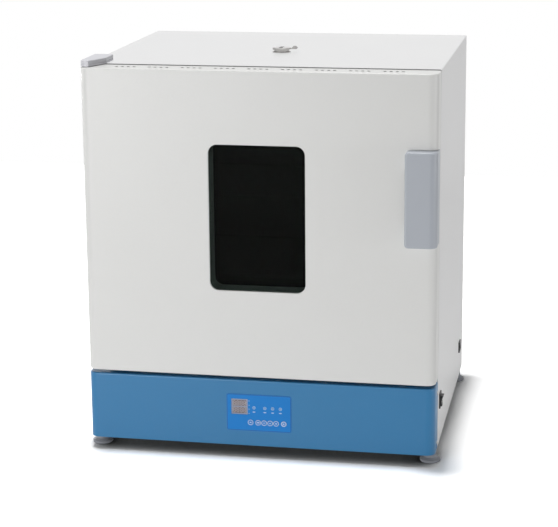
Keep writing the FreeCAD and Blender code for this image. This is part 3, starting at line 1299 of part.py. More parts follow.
def rear_screws():
    """Pan-head screws of the back panel and of the motor cover's tabs."""
    body = new_body("rear_screws")
    x = f"({inside_x} - 12)"
    levels = [f"({top_z} - 20)", f"({fan_z} + 40)", f"({fan_z} - 120)", "(foot_height + pan_height + 14)"]
    panel = [(f"{side}{x}", z) for side in ("-", "") for z in levels]
    tabs = [("-(cover_half + 8)", fan_z), ("(cover_half + 8)", fan_z)]
    pad(body, "XZ", back_y, f"{back_y} + screw_head",
        *[circle(px, pz, "2 * screw_radius") for px, pz in panel])
    pad(body, "XZ", f"{back_y} + sheet", f"{back_y} + sheet + screw_head",
        *[circle(px, pz, "2 * screw_radius") for px, pz in tabs])
    return body


def build():
    outer_case()
    back_panel()
    base_pan()
    compartment_deck()
    mouth_frame()
    chamber()
    insulation()
    air_baffle()
    shelf_rack("left", "-")
    shelf_rack("right", "")
    wire_shelf("upper_shelf", "3")
    wire_shelf("lower_shelf", "1")
    temperature_probe()
    fan_impeller()
    fan_shaft()
    fan_motor()
    motor_bracket()
    motor_cover()
    heater_element()
    exhaust_tube()
    vent_collar()
    vent_cap()
    upper_hinge_bracket()
    lower_hinge_bracket()
    inside_edge = "(edge_round + seat)"
    hinge_bush("upper_hinge_bush", f"{door_top} - {inside_edge} - pin_reach", f"{door_top} - {inside_edge}")
    hinge_bush("lower_hinge_bush", f"{door_low} + {inside_edge}", f"{door_low} + {inside_edge} + pin_reach")
    hinge_cap()
    door_skin()
    door_inner_panel()
    door_insulation()
    pane("window_outer_glass", glass_front, f"{glass_front} + glass")
    pane("window_inner_glass", f"{inner_glass_back} - glass", inner_glass_back)
    window_frame()
    door_gasket()
    door_handle()
    catch_magnet()
    catch_plate()
    control_fascia()
    fascia_brackets()
    keypad_overlay()
    display_lens()
    led_digits()
    indicator_leds()
    for name, x in zip(KEY_NAMES, key_places):
        key(name, x)
    control_board()
    power_board()
    switch_housing()
    switch_rocker()
    power_inlet()
    feet()
    fascia_screws()
    rear_screws()


def check():
    """Stops with a plain message if anything failed, before anything is written."""
    doc.recompute()
    faults = [f"{item.Name}: {item.State}" for item in doc.Objects
              if "Invalid" in item.State or "Error" in item.State]
    cuts = [item for item in doc.Objects if item.TypeId in ("PartDesign::Pocket", "PartDesign::Groove")]
    for item in cuts if not faults else []:
        if item.Shape.Volume > item.BaseFeature.Shape.Volume - 1e-3:
            faults.append(f"{item.Name} cuts nothing")
    for body in nodes:
        if body.Shape.isNull() or not body.Shape.isValid():
            faults.append(f"{body.Label}: bad shape")
    if faults:
        raise RuntimeError("; ".join(faults))


build()
check()
os.makedirs("parts", exist_ok=True)
for node in nodes:
    node.Shape.exportStep(f"parts/{node.Label}.step")
    print(node.Label, len(node.Shape.Solids), "solid,", round(node.Shape.Volume / 1000, 2), "cm3")
print(len(nodes), "nodes")
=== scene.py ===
"""Bench-top forced air oven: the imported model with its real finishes, prints and small fittings.

Metres, +Z up, +X to the right of someone facing the door, +Y towards the back.
"""
import math

import bmesh
import bpy
from mathutils import Matrix, Vector


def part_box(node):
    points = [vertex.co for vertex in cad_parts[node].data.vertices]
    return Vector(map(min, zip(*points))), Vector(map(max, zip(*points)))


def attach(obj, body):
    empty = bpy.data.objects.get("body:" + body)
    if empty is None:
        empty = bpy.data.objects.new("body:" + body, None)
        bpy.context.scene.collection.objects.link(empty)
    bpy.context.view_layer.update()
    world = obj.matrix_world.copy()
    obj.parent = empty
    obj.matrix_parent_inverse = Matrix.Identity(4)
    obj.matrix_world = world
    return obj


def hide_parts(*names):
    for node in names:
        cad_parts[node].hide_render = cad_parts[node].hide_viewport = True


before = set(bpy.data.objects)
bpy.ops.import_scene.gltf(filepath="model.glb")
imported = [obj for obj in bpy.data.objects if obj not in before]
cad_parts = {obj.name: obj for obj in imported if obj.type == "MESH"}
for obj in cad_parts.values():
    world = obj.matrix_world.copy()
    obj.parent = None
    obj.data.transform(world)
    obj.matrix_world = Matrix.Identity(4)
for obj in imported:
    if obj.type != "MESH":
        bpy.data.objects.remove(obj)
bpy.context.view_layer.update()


# Outer case, back panel and motor cover: folded steel sheet with a baked powder coat. The powder flows out to a
# fine orange peel, which softens every reflection, and the colour drifts very slightly from place to place.

def linear(code):
    """An sRGB hex colour as the linear colour that a shader takes."""
    parts = [int(code[i:i + 2], 16) / 255 for i in (1, 3, 5)]
    return [c / 12.92 if c <= 0.04045 else ((c + 0.055) / 1.055) ** 2.4 for c in parts] + [1.0]


def add(tree, kind, inputs, **settings):
    """Adds a shader node with its settings; each input is given a value, or the output that feeds it."""
    item = tree.nodes.new(f"ShaderNode{kind}")
    for name, value in settings.items():
        setattr(item, name, value)
    for socket, value in inputs.items():
        if isinstance(value, bpy.types.NodeSocket):
            tree.links.new(value, item.inputs[socket])
        else:
            item.inputs[socket].default_value = value
    return item


def new_finish(name, sockets):
    """A material of one Principled shader with the values that hold all over it, its tree and the shader."""
    material = bpy.data.materials.new(name)
    material.use_nodes = True
    tree = material.node_tree
    shader = tree.nodes["Principled BSDF"]
    for socket, value in sockets.items():
        shader.inputs[socket].default_value = value
    return material, tree, shader


def dress(material, *names):
    """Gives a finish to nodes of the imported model."""
    for name in names:
        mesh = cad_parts[name].data
        mesh.materials.clear()
        mesh.materials.append(material)


def powder_coat(name, colour, shade, roughness):
    """Baked polyester powder: a dielectric with a low, even gloss over a fine orange peel."""
    material, tree, shader = new_finish(name, {"Metallic": 0.0, "IOR": 1.5})
    spot = add(tree, "TexCoord", {}).outputs["Object"]
    drift = add(tree, "TexNoise", {"Vector": spot, "Scale": 1 / 0.22, "Detail": 2.0, "Roughness": 0.5})
    grain = add(tree, "TexNoise", {"Vector": spot, "Scale": 1 / 0.0035, "Detail": 3.0, "Roughness": 0.6})
    mottle = add(tree, "MixRGB", {"Fac": grain.outputs["Fac"], "Color1": linear(colour),
                                  "Color2": linear(shade)})
    slow = add(tree, "MixRGB", {"Fac": drift.outputs["Fac"], "Color1": mottle.outputs["Color"],
                                "Color2": linear(colour)})
    tree.links.new(slow.outputs["Color"], shader.inputs["Base Color"])
    gloss = add(tree, "MapRange", {"Value": grain.outputs["Fac"], "From Min": 0.3, "From Max": 0.7,
                                   "To Min": roughness - 0.04, "To Max": roughness + 0.05})
    tree.links.new(gloss.outputs["Result"], shader.inputs["Roughness"])
    peel = add(tree, "Bump", {"Strength": 0.12, "Distance": 0.0004, "Height": grain.outputs["Fac"]})
    tree.links.new(peel.outputs["Normal"], shader.inputs["Normal"])
    return material


# The peel's real grain is about 1.5 mm; it is drawn at 3.5 mm so that it shows from where the camera stands.
case_coat = powder_coat("case_powder_coat", "#E9E9E9", "#E2E2E3", 0.42)
dress(case_coat, "outer_case", "back_panel", "motor_cover")


# Base pan, deck, motor bracket and fascia brackets: pre-galvanised sheet, never painted. The zinc freezes into
# large flat spangles that catch the light differently from one another.

def galvanised():
    material, tree, shader = new_finish("galvanised_sheet", {"Metallic": 1.0})
    spot = add(tree, "TexCoord", {}).outputs["Object"]
    spangle = add(tree, "TexVoronoi", {"Vector": spot, "Scale": 1 / 0.009, "Randomness": 1.0})
    tone = add(tree, "MixRGB", {"Fac": spangle.outputs["Color"], "Color1": linear("#9AA0A4"),
                                "Color2": linear("#C3C8CA")})
    tree.links.new(tone.outputs["Color"], shader.inputs["Base Color"])
    rough = add(tree, "MapRange", {"Value": spangle.outputs["Color"], "To Min": 0.32, "To Max": 0.52})
    tree.links.new(rough.outputs["Result"], shader.inputs["Roughness"])
    return material


zinc_sheet = galvanised()
dress(zinc_sheet, "base_pan", "compartment_deck", "motor_bracket", "fascia_brackets")


# Mouth frame, chamber, baffle, racks and the door's inner panel: grade 304 stainless with a brushed finish. The
# brushing leaves long fine lines that stretch the highlights across them.

def brushed_stainless(name, along, light, dark, roughness):
    """Brushed stainless: fine lines along one axis, a little brighter and smoother than their valleys."""
    material, tree, shader = new_finish(name, {"Metallic": 1.0, "Anisotropic": 0.5})
    spot = add(tree, "TexCoord", {}).outputs["Object"]
    # Brush lines are about 0.3 mm wide; at 1.2 mm they still show in a close view.
    scales = [1 / 0.0012] * 3
    scales["XYZ".index(along)] = 1 / 0.12
    stretched = add(tree, "Mapping", {"Vector": spot, "Scale": scales})
    lines = add(tree, "TexNoise", {"Vector": stretched.outputs["Vector"], "Scale": 1.0, "Detail": 3.0})
    cloud = add(tree, "TexNoise", {"Vector": spot, "Scale": 1 / 0.15, "Detail": 1.0})
    tone = add(tree, "MixRGB", {"Fac": lines.outputs["Fac"], "Color1": linear(dark), "Color2": linear(light)})
    haze = add(tree, "MixRGB", {"Fac": cloud.outputs["Fac"], "Color1": tone.outputs["Color"],
                                "Color2": linear(light)})
    tree.links.new(haze.outputs["Color"], shader.inputs["Base Color"])
    rough = add(tree, "MapRange", {"Value": lines.outputs["Fac"], "From Min": 0.3, "From Max": 0.7,
                                   "To Min": roughness, "To Max": roughness + 0.12})
    tree.links.new(rough.outputs["Result"], shader.inputs["Roughness"])
    scratch = add(tree, "Bump", {"Strength": 0.08, "Distance": 0.0002, "Height": lines.outputs["Fac"]})
    tree.links.new(scratch.outputs["Normal"], shader.inputs["Normal"])
    return material


dress(brushed_stainless("brushed_stainless_upright", "Z", "#B4B6B6", "#929495", 0.28),
      "mouth_frame", "air_baffle", "shelf_rack_left", "shelf_rack_right", "door_inner_panel", "exhaust_tube")
dress(brushed_stainless("brushed_stainless_liner", "Y", "#AEB0B0", "#8C8E8F", 0.32), "chamber")


# Wire shelves and temperature probe: drawn stainless rod, welded and then electropolished. It is bright and
# smooth, with a straw tint where the welds were.

def polished_rod():
    material, tree, shader = new_finish("electropolished_rod", {"Metallic": 1.0})
    spot = add(tree, "TexCoord", {}).outputs["Object"]
    tint = add(tree, "TexNoise", {"Vector": spot, "Scale": 1 / 0.03, "Detail": 2.0})
    tone = add(tree, "MixRGB", {"Fac": tint.outputs["Fac"], "Color1": linear("#D3D3D1"),
                                "Color2": linear("#B9B3A6")})
    tree.links.new(tone.outputs["Color"], shader.inputs["Base Color"])
    rough = add(tree, "MapRange", {"Value": tint.outputs["Fac"], "To Min": 0.12, "To Max": 0.26})
    tree.links.new(rough.outputs["Result"], shader.inputs["Roughness"])
    return material


rod = polished_rod()
dress(rod, "upper_shelf", "lower_shelf", "temperature_probe")


# Insulation of the cabinet and the door: resin-bonded rock wool boards, brown-grey, with a matted surface of
# short fibres that scatters light and has almost no gloss.

def mineral_wool():
    material, tree, shader = new_finish("mineral_wool", {"Roughness": 0.95, "Sheen Weight": 0.3})
    spot = add(tree, "TexCoord", {}).outputs["Object"]
    fibre = add(tree, "TexNoise", {"Vector": spot, "Scale": 1 / 0.004, "Detail": 8.0, "Roughness": 0.75,
                                   "Distortion": 1.5})
    tone = add(tree, "MixRGB", {"Fac": fibre.outputs["Fac"], "Color1": linear("#4C4736"),
                                "Color2": linear("#857D63")})
    tree.links.new(tone.outputs["Color"], shader.inputs["Base Color"])
    mat = add(tree, "Bump", {"Strength": 0.8, "Distance": 0.002, "Height": fibre.outputs["Fac"]})
    tree.links.new(mat.outputs["Normal"], shader.inputs["Normal"])
    return material


dress(mineral_wool(), "insulation", "door_insulation")


# Fan and heater: a pressed stainless impeller on a ground shaft, a cast motor in dark paint, and a sheathed
# heating tube whose steel has turned straw, brown and blue-grey in the heat.

def heat_tinted():
    material, tree, shader = new_finish("heat_tinted_sheath", {"Metallic": 1.0, "Roughness": 0.42})
    spot = add(tree, "TexCoord", {}).outputs["Object"]
    band = add(tree, "TexNoise", {"Vector": spot, "Scale": 1 / 0.05, "Detail": 3.0, "Distortion": 0.6})
    straw = add(tree, "MixRGB", {"Fac": band.outputs["Fac"], "Color1": linear("#6E5B45"),
                                 "Color2": linear("#4A4A52")})
    tree.links.new(straw.outputs["Color"], shader.inputs["Base Color"])
    return material


dress(heat_tinted(), "heater_element")
dress(brushed_stainless("brushed_stainless_impeller", "X", "#B4B6B7", "#8D9091", 0.34), "fan_impeller")
dress(brushed_stainless("ground_shaft_steel", "Y", "#C0C2C4", "#A2A5A8", 0.2), "fan_shaft")
dress(powder_coat("motor_enamel", "#3A3D40", "#303336", 0.5), "fan_motor")


# Exhaust vent on the top panel: a chromed brass collar and its turning cap, whose lever is a strip on edge. The
# chrome is slightly clouded, so it shows the surroundings sharply but in lighter and darker patches.

def chrome_plate():
    material, tree, shader = new_finish("chrome_plate", {"Metallic": 1.0})
    spot = add(tree, "TexCoord", {}).outputs["Object"]
    smear = add(tree, "TexNoise", {"Vector": spot, "Scale": 1 / 0.012, "Detail": 2.0})
    tone = add(tree, "MixRGB", {"Fac": smear.outputs["Fac"], "Color1": linear("#7E7C7E"),
                                "Color2": linear("#D6D4D0")})
    tree.links.new(tone.outputs["Color"], shader.inputs["Base Color"])
    rough = add(tree, "MapRange", {"Value": smear.outputs["Fac"], "To Min": 0.05, "To Max": 0.14})
    tree.links.new(rough.outputs["Result"], shader.inputs["Roughness"])
    return material


chrome = chrome_plate()
dress(chrome, "vent_collar", "vent_cap")


# Hinges: zinc-plated brackets with riveted pins, sintered bronze bushes in the door, and a moulded cap over the
# upper one. The ABS of the cap has a fine spark-eroded grain.

def moulded(name, colour, shade, roughness, grain_mm, depth):
    """Moulded plastic: one colour all through, with the dull even grain that the mould's steel leaves on it."""
    material, tree, shader = new_finish(name, {"Metallic": 0.0, "IOR": 1.52})
    spot = add(tree, "TexCoord", {}).outputs["Object"]
    grain = add(tree, "TexNoise", {"Vector": spot, "Scale": 1000 / grain_mm, "Detail": 4.0, "Roughness": 0.6})
    tone = add(tree, "MixRGB", {"Fac": grain.outputs["Fac"], "Color1": linear(colour),
                                "Color2": linear(shade)})
    tree.links.new(tone.outputs["Color"], shader.inputs["Base Color"])
    rough = add(tree, "MapRange", {"Value": grain.outputs["Fac"], "From Min": 0.3, "From Max": 0.7,
                                   "To Min": roughness - 0.05, "To Max": roughness + 0.05})
    tree.links.new(rough.outputs["Result"], shader.inputs["Roughness"])
    bump = add(tree, "Bump", {"Strength": 0.25, "Distance": depth, "Height": grain.outputs["Fac"]})
    tree.links.new(bump.outputs["Normal"], shader.inputs["Normal"])
    return material


def plated_zinc():
    """Bright zinc plate, passivated: bluish, with faint straw and violet clouds."""
    material, tree, shader = new_finish("zinc_plate", {"Metallic": 1.0, "Roughness": 0.28})
    spot = add(tree, "TexCoord", {}).outputs["Object"]
    cloud = add(tree, "TexNoise", {"Vector": spot, "Scale": 1 / 0.01, "Detail": 2.0, "Distortion": 0.8})
    tone = add(tree, "MixRGB", {"Fac": cloud.outputs["Fac"], "Color1": linear("#B9BDC6"),
                                "Color2": linear("#C4BFB2")})
    tree.links.new(tone.outputs["Color"], shader.inputs["Base Color"])
    return material


zinc = plated_zinc()
dress(zinc, "upper_hinge_bracket", "lower_hinge_bracket", "catch_plate")
dress(moulded("sintered_bronze", "#9A7440", "#7D5C33", 0.5, 1.0, 0.0002),
      "upper_hinge_bush", "lower_hinge_bush")
dress(moulded("hinge_cap_abs", "#D6D6DB", "#CFCFD5", 0.42, 1.2, 0.0001), "hinge_cap")


# Door skin: the same folded sheet and powder as the case, in a slightly warmer batch of the paint. Its edges
# and the lip round the window are turned in, so the coat runs round them without a break.

dress(powder_coat("door_powder_coat", "#E4E4E2", "#DEDEDC", 0.4), "door_skin")


# Painted shade behind the slots in the door's top edge: a 16 mm wide band of near-black sheet, 0.2 mm thin, on
# the wool. It stands for the shade in the cavity under the slots, and makes the slots look black.

# A near-black matte finish that paints the shade of the cavity under the door's slots.
def slot_shade_finish():
    material, tree, shader = new_finish("painted_slot_shade", {"Roughness": 0.95})
    spot = add(tree, "TexCoord", {}).outputs["Object"]
    fibre = add(tree, "TexNoise", {"Vector": spot, "Scale": 1 / 0.002, "Detail": 5.0, "Distortion": 1.0})
    tone = add(tree, "MixRGB", {"Fac": fibre.outputs["Fac"], "Color1": linear("#0B0B0C"),
                                "Color2": linear("#19191B")})
    tree.links.new(tone.outputs["Color"], shader.inputs["Base Color"])
    return material


def finish_piece(bm, name, material, body):
    """Makes the object of a finished mesh, gives it its material and lets it move with its body."""
    mesh = bpy.data.meshes.new(name)
    bm.to_mesh(mesh)
    bm.free()
    mesh.materials.append(material)
    piece = bpy.data.objects.new(name, mesh)
    bpy.context.scene.collection.objects.link(piece)
    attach(piece, body)
    return piece


skin_low, skin_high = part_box("door_skin")
END_CLEARANCE = 0.080  # the strip stops 40 mm short of either side, past the last slots
SLOT_LINE_Y = -0.274
SHADE_SHEET_DROP = 0.0031  # under the top of the door: its sheet, a small gap and half of the painted shade band
strip = bmesh.new()
shade_sheet_verts = bmesh.ops.create_cube(strip, size=1.0)["verts"]
bmesh.ops.scale(strip, verts=shade_sheet_verts, vec=(skin_high[0] - skin_low[0] - END_CLEARANCE, 0.016, 0.0002))
bmesh.ops.translate(strip, verts=shade_sheet_verts,
                    vec=((skin_low[0] + skin_high[0]) / 2, SLOT_LINE_Y, skin_high[2] - SHADE_SHEET_DROP))
# The near-black band is painted shade for the slots.
finish_piece(strip, "painted_slot_shade_strip", slot_shade_finish(), "door")


# Window: a clear outer pane and a smoked inner one with a deep painted frame between them. The coated glass
# reflects little, so the chamber behind it looks almost black.

def pane_glass(name, colour, index):
    """Pane glass with an anti-glare coat: a low index stands for the little that such a coat reflects."""
    material, tree, shader = new_finish(name, {"Transmission Weight": 1.0, "IOR": index,
                                               "Base Color": linear(colour)})
    spot = add(tree, "TexCoord", {}).outputs["Object"]
    haze = add(tree, "TexNoise", {"Vector": spot, "Scale": 1 / 0.08, "Detail": 2.0})
    film = add(tree, "MapRange", {"Value": haze.outputs["Fac"], "To Min": 0.0, "To Max": 0.03})
    tree.links.new(film.outputs["Result"], shader.inputs["Roughness"])
    return material


dress(pane_glass("coated_outer_glass", "#DDE6E2", 1.12), "window_outer_glass")
dress(pane_glass("smoked_inner_glass", "#3F4A46", 1.08), "window_inner_glass")
dress(powder_coat("frame_stove_enamel", "#59605B", "#4E5550", 0.45), "window_frame")


# Door gasket: extruded silicone rubber, off-white and slightly translucent, with a soft dull skin.

def silicone():
    material, tree, shader = new_finish("silicone_rubber", {"Roughness": 0.55, "IOR": 1.41,
                                                            "Subsurface Weight": 0.15,
                                                            "Subsurface Scale": 0.003})
    spot = add(tree, "TexCoord", {}).outputs["Object"]
    dust = add(tree, "TexNoise", {"Vector": spot, "Scale": 1 / 0.02, "Detail": 4.0})
    tone = add(tree, "MixRGB", {"Fac": dust.outputs["Fac"], "Color1": linear("#D6D2CA"),
                                "Color2": linear("#C6C1B8")})
    tree.links.new(tone.outputs["Color"], shader.inputs["Base Color"])
    return material


dress(silicone(), "door_gasket")


# Door handle and catch: the handle is one grey ABS moulding with a satin skin, and the magnet behind it sits in
# a white nylon housing.

dress(moulded("handle_abs", "#B3B8C0", "#ADB2BA", 0.4, 1.5, 0.0001), "door_handle")
dress(moulded("magnet_nylon", "#E8E8E6", "#DEDEDC", 0.45, 1.0, 0.0001), "catch_magnet")


# Control fascia: folded sheet in a satin blue powder coat, a little glossier than the door above it.

dress(powder_coat("fascia_powder_coat", "#2F7CAE", "#2A73A5", 0.32), "control_fascia")


# Keypad overlay and keys: a back-printed polyester film with a satin face. The print is a strong flat blue with
# a darker rim, and the keys are domes pressed in the same film.

def polyester_film(name, colour, shade):
    material, tree, shader = new_finish(name, {"IOR": 1.57, "Specular IOR Level": 0.22})
    spot = add(tree, "TexCoord", {}).outputs["Object"]
    satin = add(tree, "TexNoise", {"Vector": spot, "Scale": 1 / 0.0012, "Detail": 2.0})
    tone = add(tree, "MixRGB", {"Fac": satin.outputs["Fac"], "Color1": linear(colour),
                                "Color2": linear(shade)})
    tree.links.new(tone.outputs["Color"], shader.inputs["Base Color"])
    rough = add(tree, "MapRange", {"Value": satin.outputs["Fac"], "To Min": 0.3, "To Max": 0.46})
    tree.links.new(rough.outputs["Result"], shader.inputs["Roughness"])
    return material


KEYS = ["set_key", "shift_key", "down_key", "up_key", "timer_key", "start_key"]
film = polyester_film("blue_polyester_film", "#1382D3", "#117BCA")
dress(film, "keypad_overlay", *KEYS)
INK = 0.00006  # screen ink stands about 0.01 mm proud; it is drawn at 0.06 mm so that it is a solid of its own
film_low, film_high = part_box("keypad_overlay")


def stand_up(bm, verts, x, z, front):
    """Turns a flat print drawn in plan to face the front, with its face at a given Y."""
    bmesh.ops.rotate(bm, verts=verts, cent=(0, 0, 0), matrix=Matrix.Rotation(math.radians(90), 3, "X"))
    bmesh.ops.translate(bm, verts=verts, vec=(x, front, z))


def print_ring(bm, x, z, front, radius, width):
    """A printed ring: two circles bridged and given the ink's thickness."""
    outer = bmesh.ops.create_circle(bm, segments=40, radius=radius)["verts"]
    inner = bmesh.ops.create_circle(bm, segments=40, radius=radius - width)["verts"]
    edges = list({edge for vert in outer + inner for edge in vert.link_edges})
    faces = bmesh.ops.bridge_loops(bm, edges=edges)["faces"]
    thicken(bm, faces, x, z, front)


def print_shape(bm, x, z, front, sides, width, height, turn=0.0):
    """A printed spot with a number of sides, stretched to a width and a height."""
    verts = bmesh.ops.create_circle(bm, cap_ends=True, segments=sides, radius=0.5)["verts"]
    bmesh.ops.rotate(bm, verts=verts, cent=(0, 0, 0), matrix=Matrix.Rotation(math.radians(turn), 3, "Z"))
    bmesh.ops.scale(bm, verts=verts, vec=(width, height, 1))
    thicken(bm, list(verts[0].link_faces), x, z, front)


def thicken(bm, faces, x, z, front):
    """Gives a flat print the thickness of its ink and stands it up on the surface behind it."""
    grown = bmesh.ops.extrude_face_region(bm, geom=faces)["geom"]
    lifted = [item for item in grown if isinstance(item, bmesh.types.BMVert)]
    bmesh.ops.translate(bm, verts=lifted, vec=(0, 0, INK))
    verts = list({vert for face in faces for vert in face.verts} | set(lifted))
    stand_up(bm, verts, x, z, front)


def screen_ink(name, colour, roughness):
    """Screen-printed ink: thin, opaque and a little uneven at its edge."""
    material, tree, shader = new_finish(name, {"Roughness": roughness, "IOR": 1.5})
    spot = add(tree, "TexCoord", {}).outputs["Object"]
    speck = add(tree, "TexNoise", {"Vector": spot, "Scale": 1 / 0.0008, "Detail": 2.0})
    tone = add(tree, "MixRGB", {"Fac": speck.outputs["Fac"], "Color1": linear(colour),
                                "Color2": [c * 0.86 for c in linear(colour)[:3]] + [1.0]})
    tree.links.new(tone.outputs["Color"], shader.inputs["Base Color"])
    return material


pale_ink = screen_ink("pale_blue_ink", "#E4EEF8", 0.5)

# The keys' prints: a ring round each and a plain sign within, from a short bar to a disc with a triangle.
for place, key in enumerate(KEYS):
    low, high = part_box(key)
    x, z, front = (low[0] + high[0]) / 2, (low[2] + high[2]) / 2, low[1]
    radius = (high[0] - low[0]) / 2
    print_bm = bmesh.new()
    print_ring(print_bm, x, z, front, radius - 0.0001, 0.0009)
    if key == "set_key":
        print_shape(print_bm, x, z, front, 4, 0.0052, 0.0022, 45)
    elif key == "shift_key":
        print_shape(print_bm, x, z, front, 6, 0.0060, 0.0022)
    elif key == "down_key":
        print_shape(print_bm, x, z, front, 3, 0.0036, 0.0034, -90)
    elif key == "up_key":
        print_shape(print_bm, x, z, front, 3, 0.0036, 0.0034, 90)
    elif key == "timer_key":
        print_ring(print_bm, x, z, front, 0.0017, 0.0008)
    else:
        print_ring(print_bm, x, z, front, 0.0038, 0.0006)
        print_shape(print_bm, x, z, front, 3, 0.0040, 0.0040, 0)
    finish_piece(print_bm, f"{key}_print", pale_ink, key)

# The prints on the overlay: a ring round each indicator and a sign under it, and the display's unit marks. The
# second indicator stands a little nearer to the third than to the first.
overlay_print = bmesh.new()
led_low, led_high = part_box("indicator_leds")
led_z = (led_low[2] + led_high[2]) / 2
LED_RADIUS = 0.0015
led_first, led_last = led_low[0] + LED_RADIUS, led_high[0] - LED_RADIUS
led_second = led_first + (led_last - led_first) * 0.415
led_places = [led_first, led_second, (led_second + led_last) / 2, led_last]
for x in led_places:
    print_ring(overlay_print, x, led_z, film_low[1], 0.0032, 0.0008)
    print_shape(overlay_print, x, led_z - 0.0088, film_low[1], 6, 0.0064, 0.0024)
lens_low, lens_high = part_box("display_lens")
for share in (0.9, 0.62, 0.36, 0.08):
    z = lens_low[2] + (lens_high[2] - lens_low[2]) * share
    print_shape(overlay_print, lens_high[0] + 0.0030, z, film_low[1], 8, 0.0024, 0.0016)
finish_piece(overlay_print, "overlay_print", screen_ink("light_blue_ink", "#B7D3EE", 0.5), "cabinet")

# A darker line runs round the film, 0.6 mm in from its edge.
RIM_MARGIN, RIM_WIDTH, RIM_CORNER = 0.0006, 0.0011, 0.0036
rim = bmesh.new()
width, height = film_high[0] - film_low[0], film_high[2] - film_low[2]
corners = bmesh.ops.create_grid(rim, x_segments=1, y_segments=1, size=0.5)["verts"]
bmesh.ops.scale(rim, verts=corners, vec=(width - 2 * RIM_MARGIN, height - 2 * RIM_MARGIN, 1))
bmesh.ops.bevel(rim, geom=corners, offset=RIM_CORNER, offset_type="OFFSET", segments=6, profile=0.5,
                affect="VERTICES", material=-1)
line = bmesh.ops.inset_region(rim, faces=list(rim.faces), thickness=RIM_WIDTH, use_even_offset=True,
                              use_boundary=True)["faces"]
bmesh.ops.delete(rim, geom=[face for face in rim.faces if face not in line], context="FACES")
thicken(rim, list(rim.faces), (film_low[0] + film_high[0]) / 2, (film_low[2] + film_high[2]) / 2, film_low[1])
finish_piece(rim, "overlay_rim_print", screen_ink("dark_blue_ink", "#0F5AA0", 0.45), "cabinet")


# Display: two rows of four seven-segment digits behind a clear lens. Unlit, the epoxy segments are pale against
# the brown-grey face of each block, and a pale mask frames both rows.

def clear_lens():
    material, tree, shader = new_finish("clear_acrylic_lens", {"Transmission Weight": 1.0, "IOR": 1.49,
                                                               "Base Color": linear("#E6E4E8"),
                                                               "Specular IOR Level": 0.3})
    spot = add(tree, "TexCoord", {}).outputs["Object"]
    fog = add(tree, "TexNoise", {"Vector": spot, "Scale": 1 / 0.01, "Detail": 1.0})
    film_rough = add(tree, "MapRange", {"Value": fog.outputs["Fac"], "To Min": 0.02, "To Max": 0.08})
    tree.links.new(film_rough.outputs["Result"], shader.inputs["Roughness"])
    return material


dress(clear_lens(), "display_lens")
dress(moulded("digit_block_epoxy", "#6C5B58", "#63534F", 0.45, 0.8, 0.00005), "led_digits")
dress(moulded("indicator_epoxy", "#8FB2D6", "#86A9CE", 0.3, 0.8, 0.00003), "indicator_leds")

block_low, block_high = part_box("led_digits")
segments = bmesh.new()
row_height = (block_high[2] - block_low[2]) / 2
half = 0.0044  # half of a digit's height, between the middles of its top and bottom bars
for level in (0, 1):
    row_z = block_low[2] + row_height * (level + 0.5)
    for digit in range(4):
        digit_x = block_low[0] + (block_high[0] - block_low[0]) * (digit + 0.5) / 4
        for dz in (-half, 0.0, half):
            print_shape(segments, digit_x, row_z + dz, block_low[1], 6, 0.0040, 0.0016)
        for dx in (-0.0021, 0.0021):  # the two columns of upright bars
            for dz in (-half / 2, half / 2):
                print_shape(segments, digit_x + dx, row_z + dz, block_low[1], 6, 0.0016, 0.0044)
finish_piece(segments, "digit_segments", screen_ink("unlit_segment_epoxy", "#F2ECEC", 0.4), "cabinet")

mask = bmesh.new()
mask_width, mask_height = lens_high[0] - lens_low[0] - 0.0003, lens_high[2] - lens_low[2] - 0.0003
window_width = block_high[0] - block_low[0]
gap, border = 0.0026, 0.0006
columns = [-mask_width / 2, -window_width / 2, window_width / 2, mask_width / 2]
rows = [-mask_height / 2, -row_height + border, -gap / 2, gap / 2, row_height - border, mask_height / 2]
panel = bmesh.ops.create_grid(mask, x_segments=3, y_segments=5, size=0.5)["verts"]
for vert in panel:
    vert.co.x = columns[round((vert.co.x + 0.5) * 3)]
    vert.co.y = rows[round((vert.co.y + 0.5) * 5)]
holes = [face for face in mask.faces if abs(face.calc_center_median().x) < 0.001
         and gap < abs(face.calc_center_median().y) < row_height - gap]
bmesh.ops.delete(mask, geom=holes, context="FACES")
thicken(mask, list(mask.faces), (lens_low[0] + lens_high[0]) / 2, (lens_low[2] + lens_high[2]) / 2,
        lens_high[1] - 0.00002)
finish_piece(mask, "display_mask", screen_ink("pale_grey_ink", "#B9C3D6", 0.5), "cabinet")


# Boards behind the fascia and in the lower bay: green solder mask on glass epoxy, with the weave just showing.

def solder_mask():
    material, tree, shader = new_finish("green_solder_mask", {"Coat Weight": 0.6, "Coat Roughness": 0.2})
    spot = add(tree, "TexCoord", {}).outputs["Object"]
    weave = add(tree, "TexVoronoi", {"Vector": spot, "Scale": 1 / 0.002}, distance="CHEBYCHEV")
    tone = add(tree, "MixRGB", {"Fac": weave.outputs["Distance"], "Color1": linear("#1E5A34"),
                                "Color2": linear("#2B7044")})
    tree.links.new(tone.outputs["Color"], shader.inputs["Base Color"])
    rough = add(tree, "MapRange", {"Value": weave.outputs["Distance"], "To Min": 0.35, "To Max": 0.5})
    tree.links.new(rough.outputs["Result"], shader.inputs["Roughness"])
    return material


dress(solder_mask(), "control_board", "power_board")


# Rocker switch and mains inlet in the right side: black polyamide. The rocker carries a moulded-in white bar
# and ring, and the inlet has three nickel-plated pins.

black_polyamide = moulded("black_polyamide", "#1B1B1D", "#141416", 0.38, 1.0, 0.00005)
dress(black_polyamide, "switch_housing", "switch_rocker", "power_inlet")

housing_low, housing_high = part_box("switch_housing")
pivot = Vector((housing_high[0] - 0.003, (housing_low[1] + housing_high[1]) / 2,
                (housing_low[2] + housing_high[2]) / 2))


